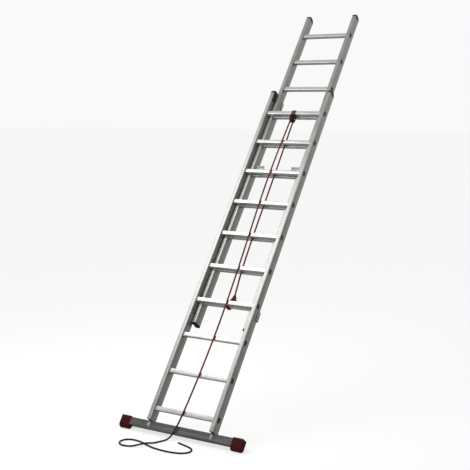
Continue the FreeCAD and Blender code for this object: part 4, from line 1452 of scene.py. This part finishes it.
@dataclass
class Stage:
    """Camera, soft lights and the pale floor.

    Attributes:
        azimuth: of the camera's aim, in degrees.
        dip: how far it looks down, in degrees.
        lens: its focal length in millimetres.
        stand: where it stands, measured from the ladder's own zero point.
        reach: half the width of the floor.
        bright_side: the way from which the surround is brightest.
        surround: its brightness from the dark side to the bright side.
        lamps: the soft lamps.
    """

    azimuth: float = 30.024
    dip: float = 8.183
    lens: float = 70.84
    stand: tuple[float, float, float] = (3.2402, -4.8498, 2.1246)
    reach: float = 60.0
    bright_side: tuple[float, float, float] = (-0.35, -0.30, 0.89)
    surround: tuple[tuple[float, float], ...] = ((0.12, 0.22), (0.20, 0.28), (0.26, 0.45),
                                                 (0.34, 0.80), (0.50, 0.60), (0.93, 0.60),
                                                 (0.99, 0.80))
    lamps: tuple[Lamp, ...] = (
        Lamp("key_lamp", (-1.10, -1.15, 2.85), (0, -0.35, 1.0), 27.0, 1.7),
        Lamp("front_lamp", (-1.5, -6.0, 2.6), (0, -0.4, 1.0), 16.0, 2.5))

    def build(self) -> None:
        """Set up the whole stage."""
        self.camera()
        self.floor()
        self.lights()

    def camera(self) -> None:
        """The camera, standing to the right in front of the ladder."""
        data = bpy.data.cameras.new("portrait_camera")
        data.lens = self.lens
        data.sensor_width = 36.0
        made = bpy.data.objects.new("portrait_camera", data)
        made.location = Vector(self.stand) + Vector((0, LEAN.origin.y, LEAN.origin.z))
        made.rotation_euler = (math.radians(90 - self.dip), 0, math.radians(self.azimuth))
        bpy.context.scene.collection.objects.link(made)
        bpy.context.scene.camera = made

    def floor(self) -> None:
        """A wide pale floor under a white dome, both seen by the camera only."""
        data = bpy.data.meshes.new("studio_floor")
        half = self.reach
        corners = [(-half, -half, 0), (half, -half, 0), (half, half, 0), (-half, half, 0)]
        data.from_pydata(corners, [], [(0, 1, 2, 3)])
        self._backdrop("studio_floor", data, 0.45, 0.64)
        dome = bmesh.new()
        bmesh.ops.create_uvsphere(dome, u_segments=48, v_segments=24, radius=1.3 * half)
        data = bpy.data.meshes.new("studio_dome")
        dome.to_mesh(data)
        dome.free()
        self._backdrop("studio_dome", data, 0.0, 0.95)

    def _backdrop(self, name: str, data: bpy.types.Mesh, paint: float, glow: float) -> None:
        """A piece of the backdrop, which throws no light on the ladder.

        Args:
            name: its name.
            data: its mesh.
            paint: how much lamp light it returns.
            glow: its own even brightness.
        """
        made = bpy.data.objects.new(name, data)
        finish = bpy.data.materials.new(name + "_paint")
        finish.use_nodes = True
        shader = finish.node_tree.nodes["Principled BSDF"]
        shader.inputs["Base Color"].default_value = (paint, paint, paint, 1)
        shader.inputs["Roughness"].default_value = 1.0
        shader.inputs["Specular IOR Level"].default_value = 0.0
        shader.inputs["Emission Color"].default_value = (1, 1, 1, 1)
        shader.inputs["Emission Strength"].default_value = glow
        data.materials.append(finish)
        made.visible_diffuse = made.visible_glossy = False
        made.visible_transmission = made.visible_shadow = False
        bpy.context.scene.collection.objects.link(made)

    def lights(self) -> None:
        """A surround that is brighter in front and above, and two soft lamps."""
        world = bpy.data.worlds.new("studio_surround")
        world.use_nodes = True
        tree = world.node_tree
        surround = tree.nodes["Background"]
        coordinates = tree.nodes.new("ShaderNodeTexCoord")
        facing = tree.nodes.new("ShaderNodeVectorMath")
        facing.operation = "DOT_PRODUCT"
        facing.inputs[1].default_value = Vector(self.bright_side).normalized()
        span = tree.nodes.new("ShaderNodeMapRange")
        span.inputs["From Min"].default_value = -1.0
        ramp = tree.nodes.new("ShaderNodeValToRGB")
        for position, level in self.surround:
            stop = ramp.color_ramp.elements.new(position)
            stop.color = (level, level, level * 0.99, 1)
        ramp.color_ramp.elements.remove(ramp.color_ramp.elements[0])
        ramp.color_ramp.elements.remove(ramp.color_ramp.elements[-1])
        tree.links.new(coordinates.outputs["Generated"], facing.inputs[0])
        tree.links.new(facing.outputs["Value"], span.inputs["Value"])
        tree.links.new(span.outputs["Result"], ramp.inputs["Fac"])
        tree.links.new(ramp.outputs["Color"], surround.inputs["Color"])
        bpy.context.scene.world = world
        bpy.context.scene.view_settings.view_transform = "Standard"
        for lamp in self.lamps:
            lamp.build()


def main() -> None:
    """Build the ladder's sub-assemblies in order, then its stage."""
    logging.basicConfig(level=logging.INFO, format="%(name)s: %(message)s")
    Stage().build()
    Rope().build()
    LadderSection("base").build()
    LadderSection("fly").build()
    Mouldings().build()
    Stabiliser().build()
    Guides().build()
    Pulley().build()
    RungHooks().build()


if __name__ == "__main__":
    main()
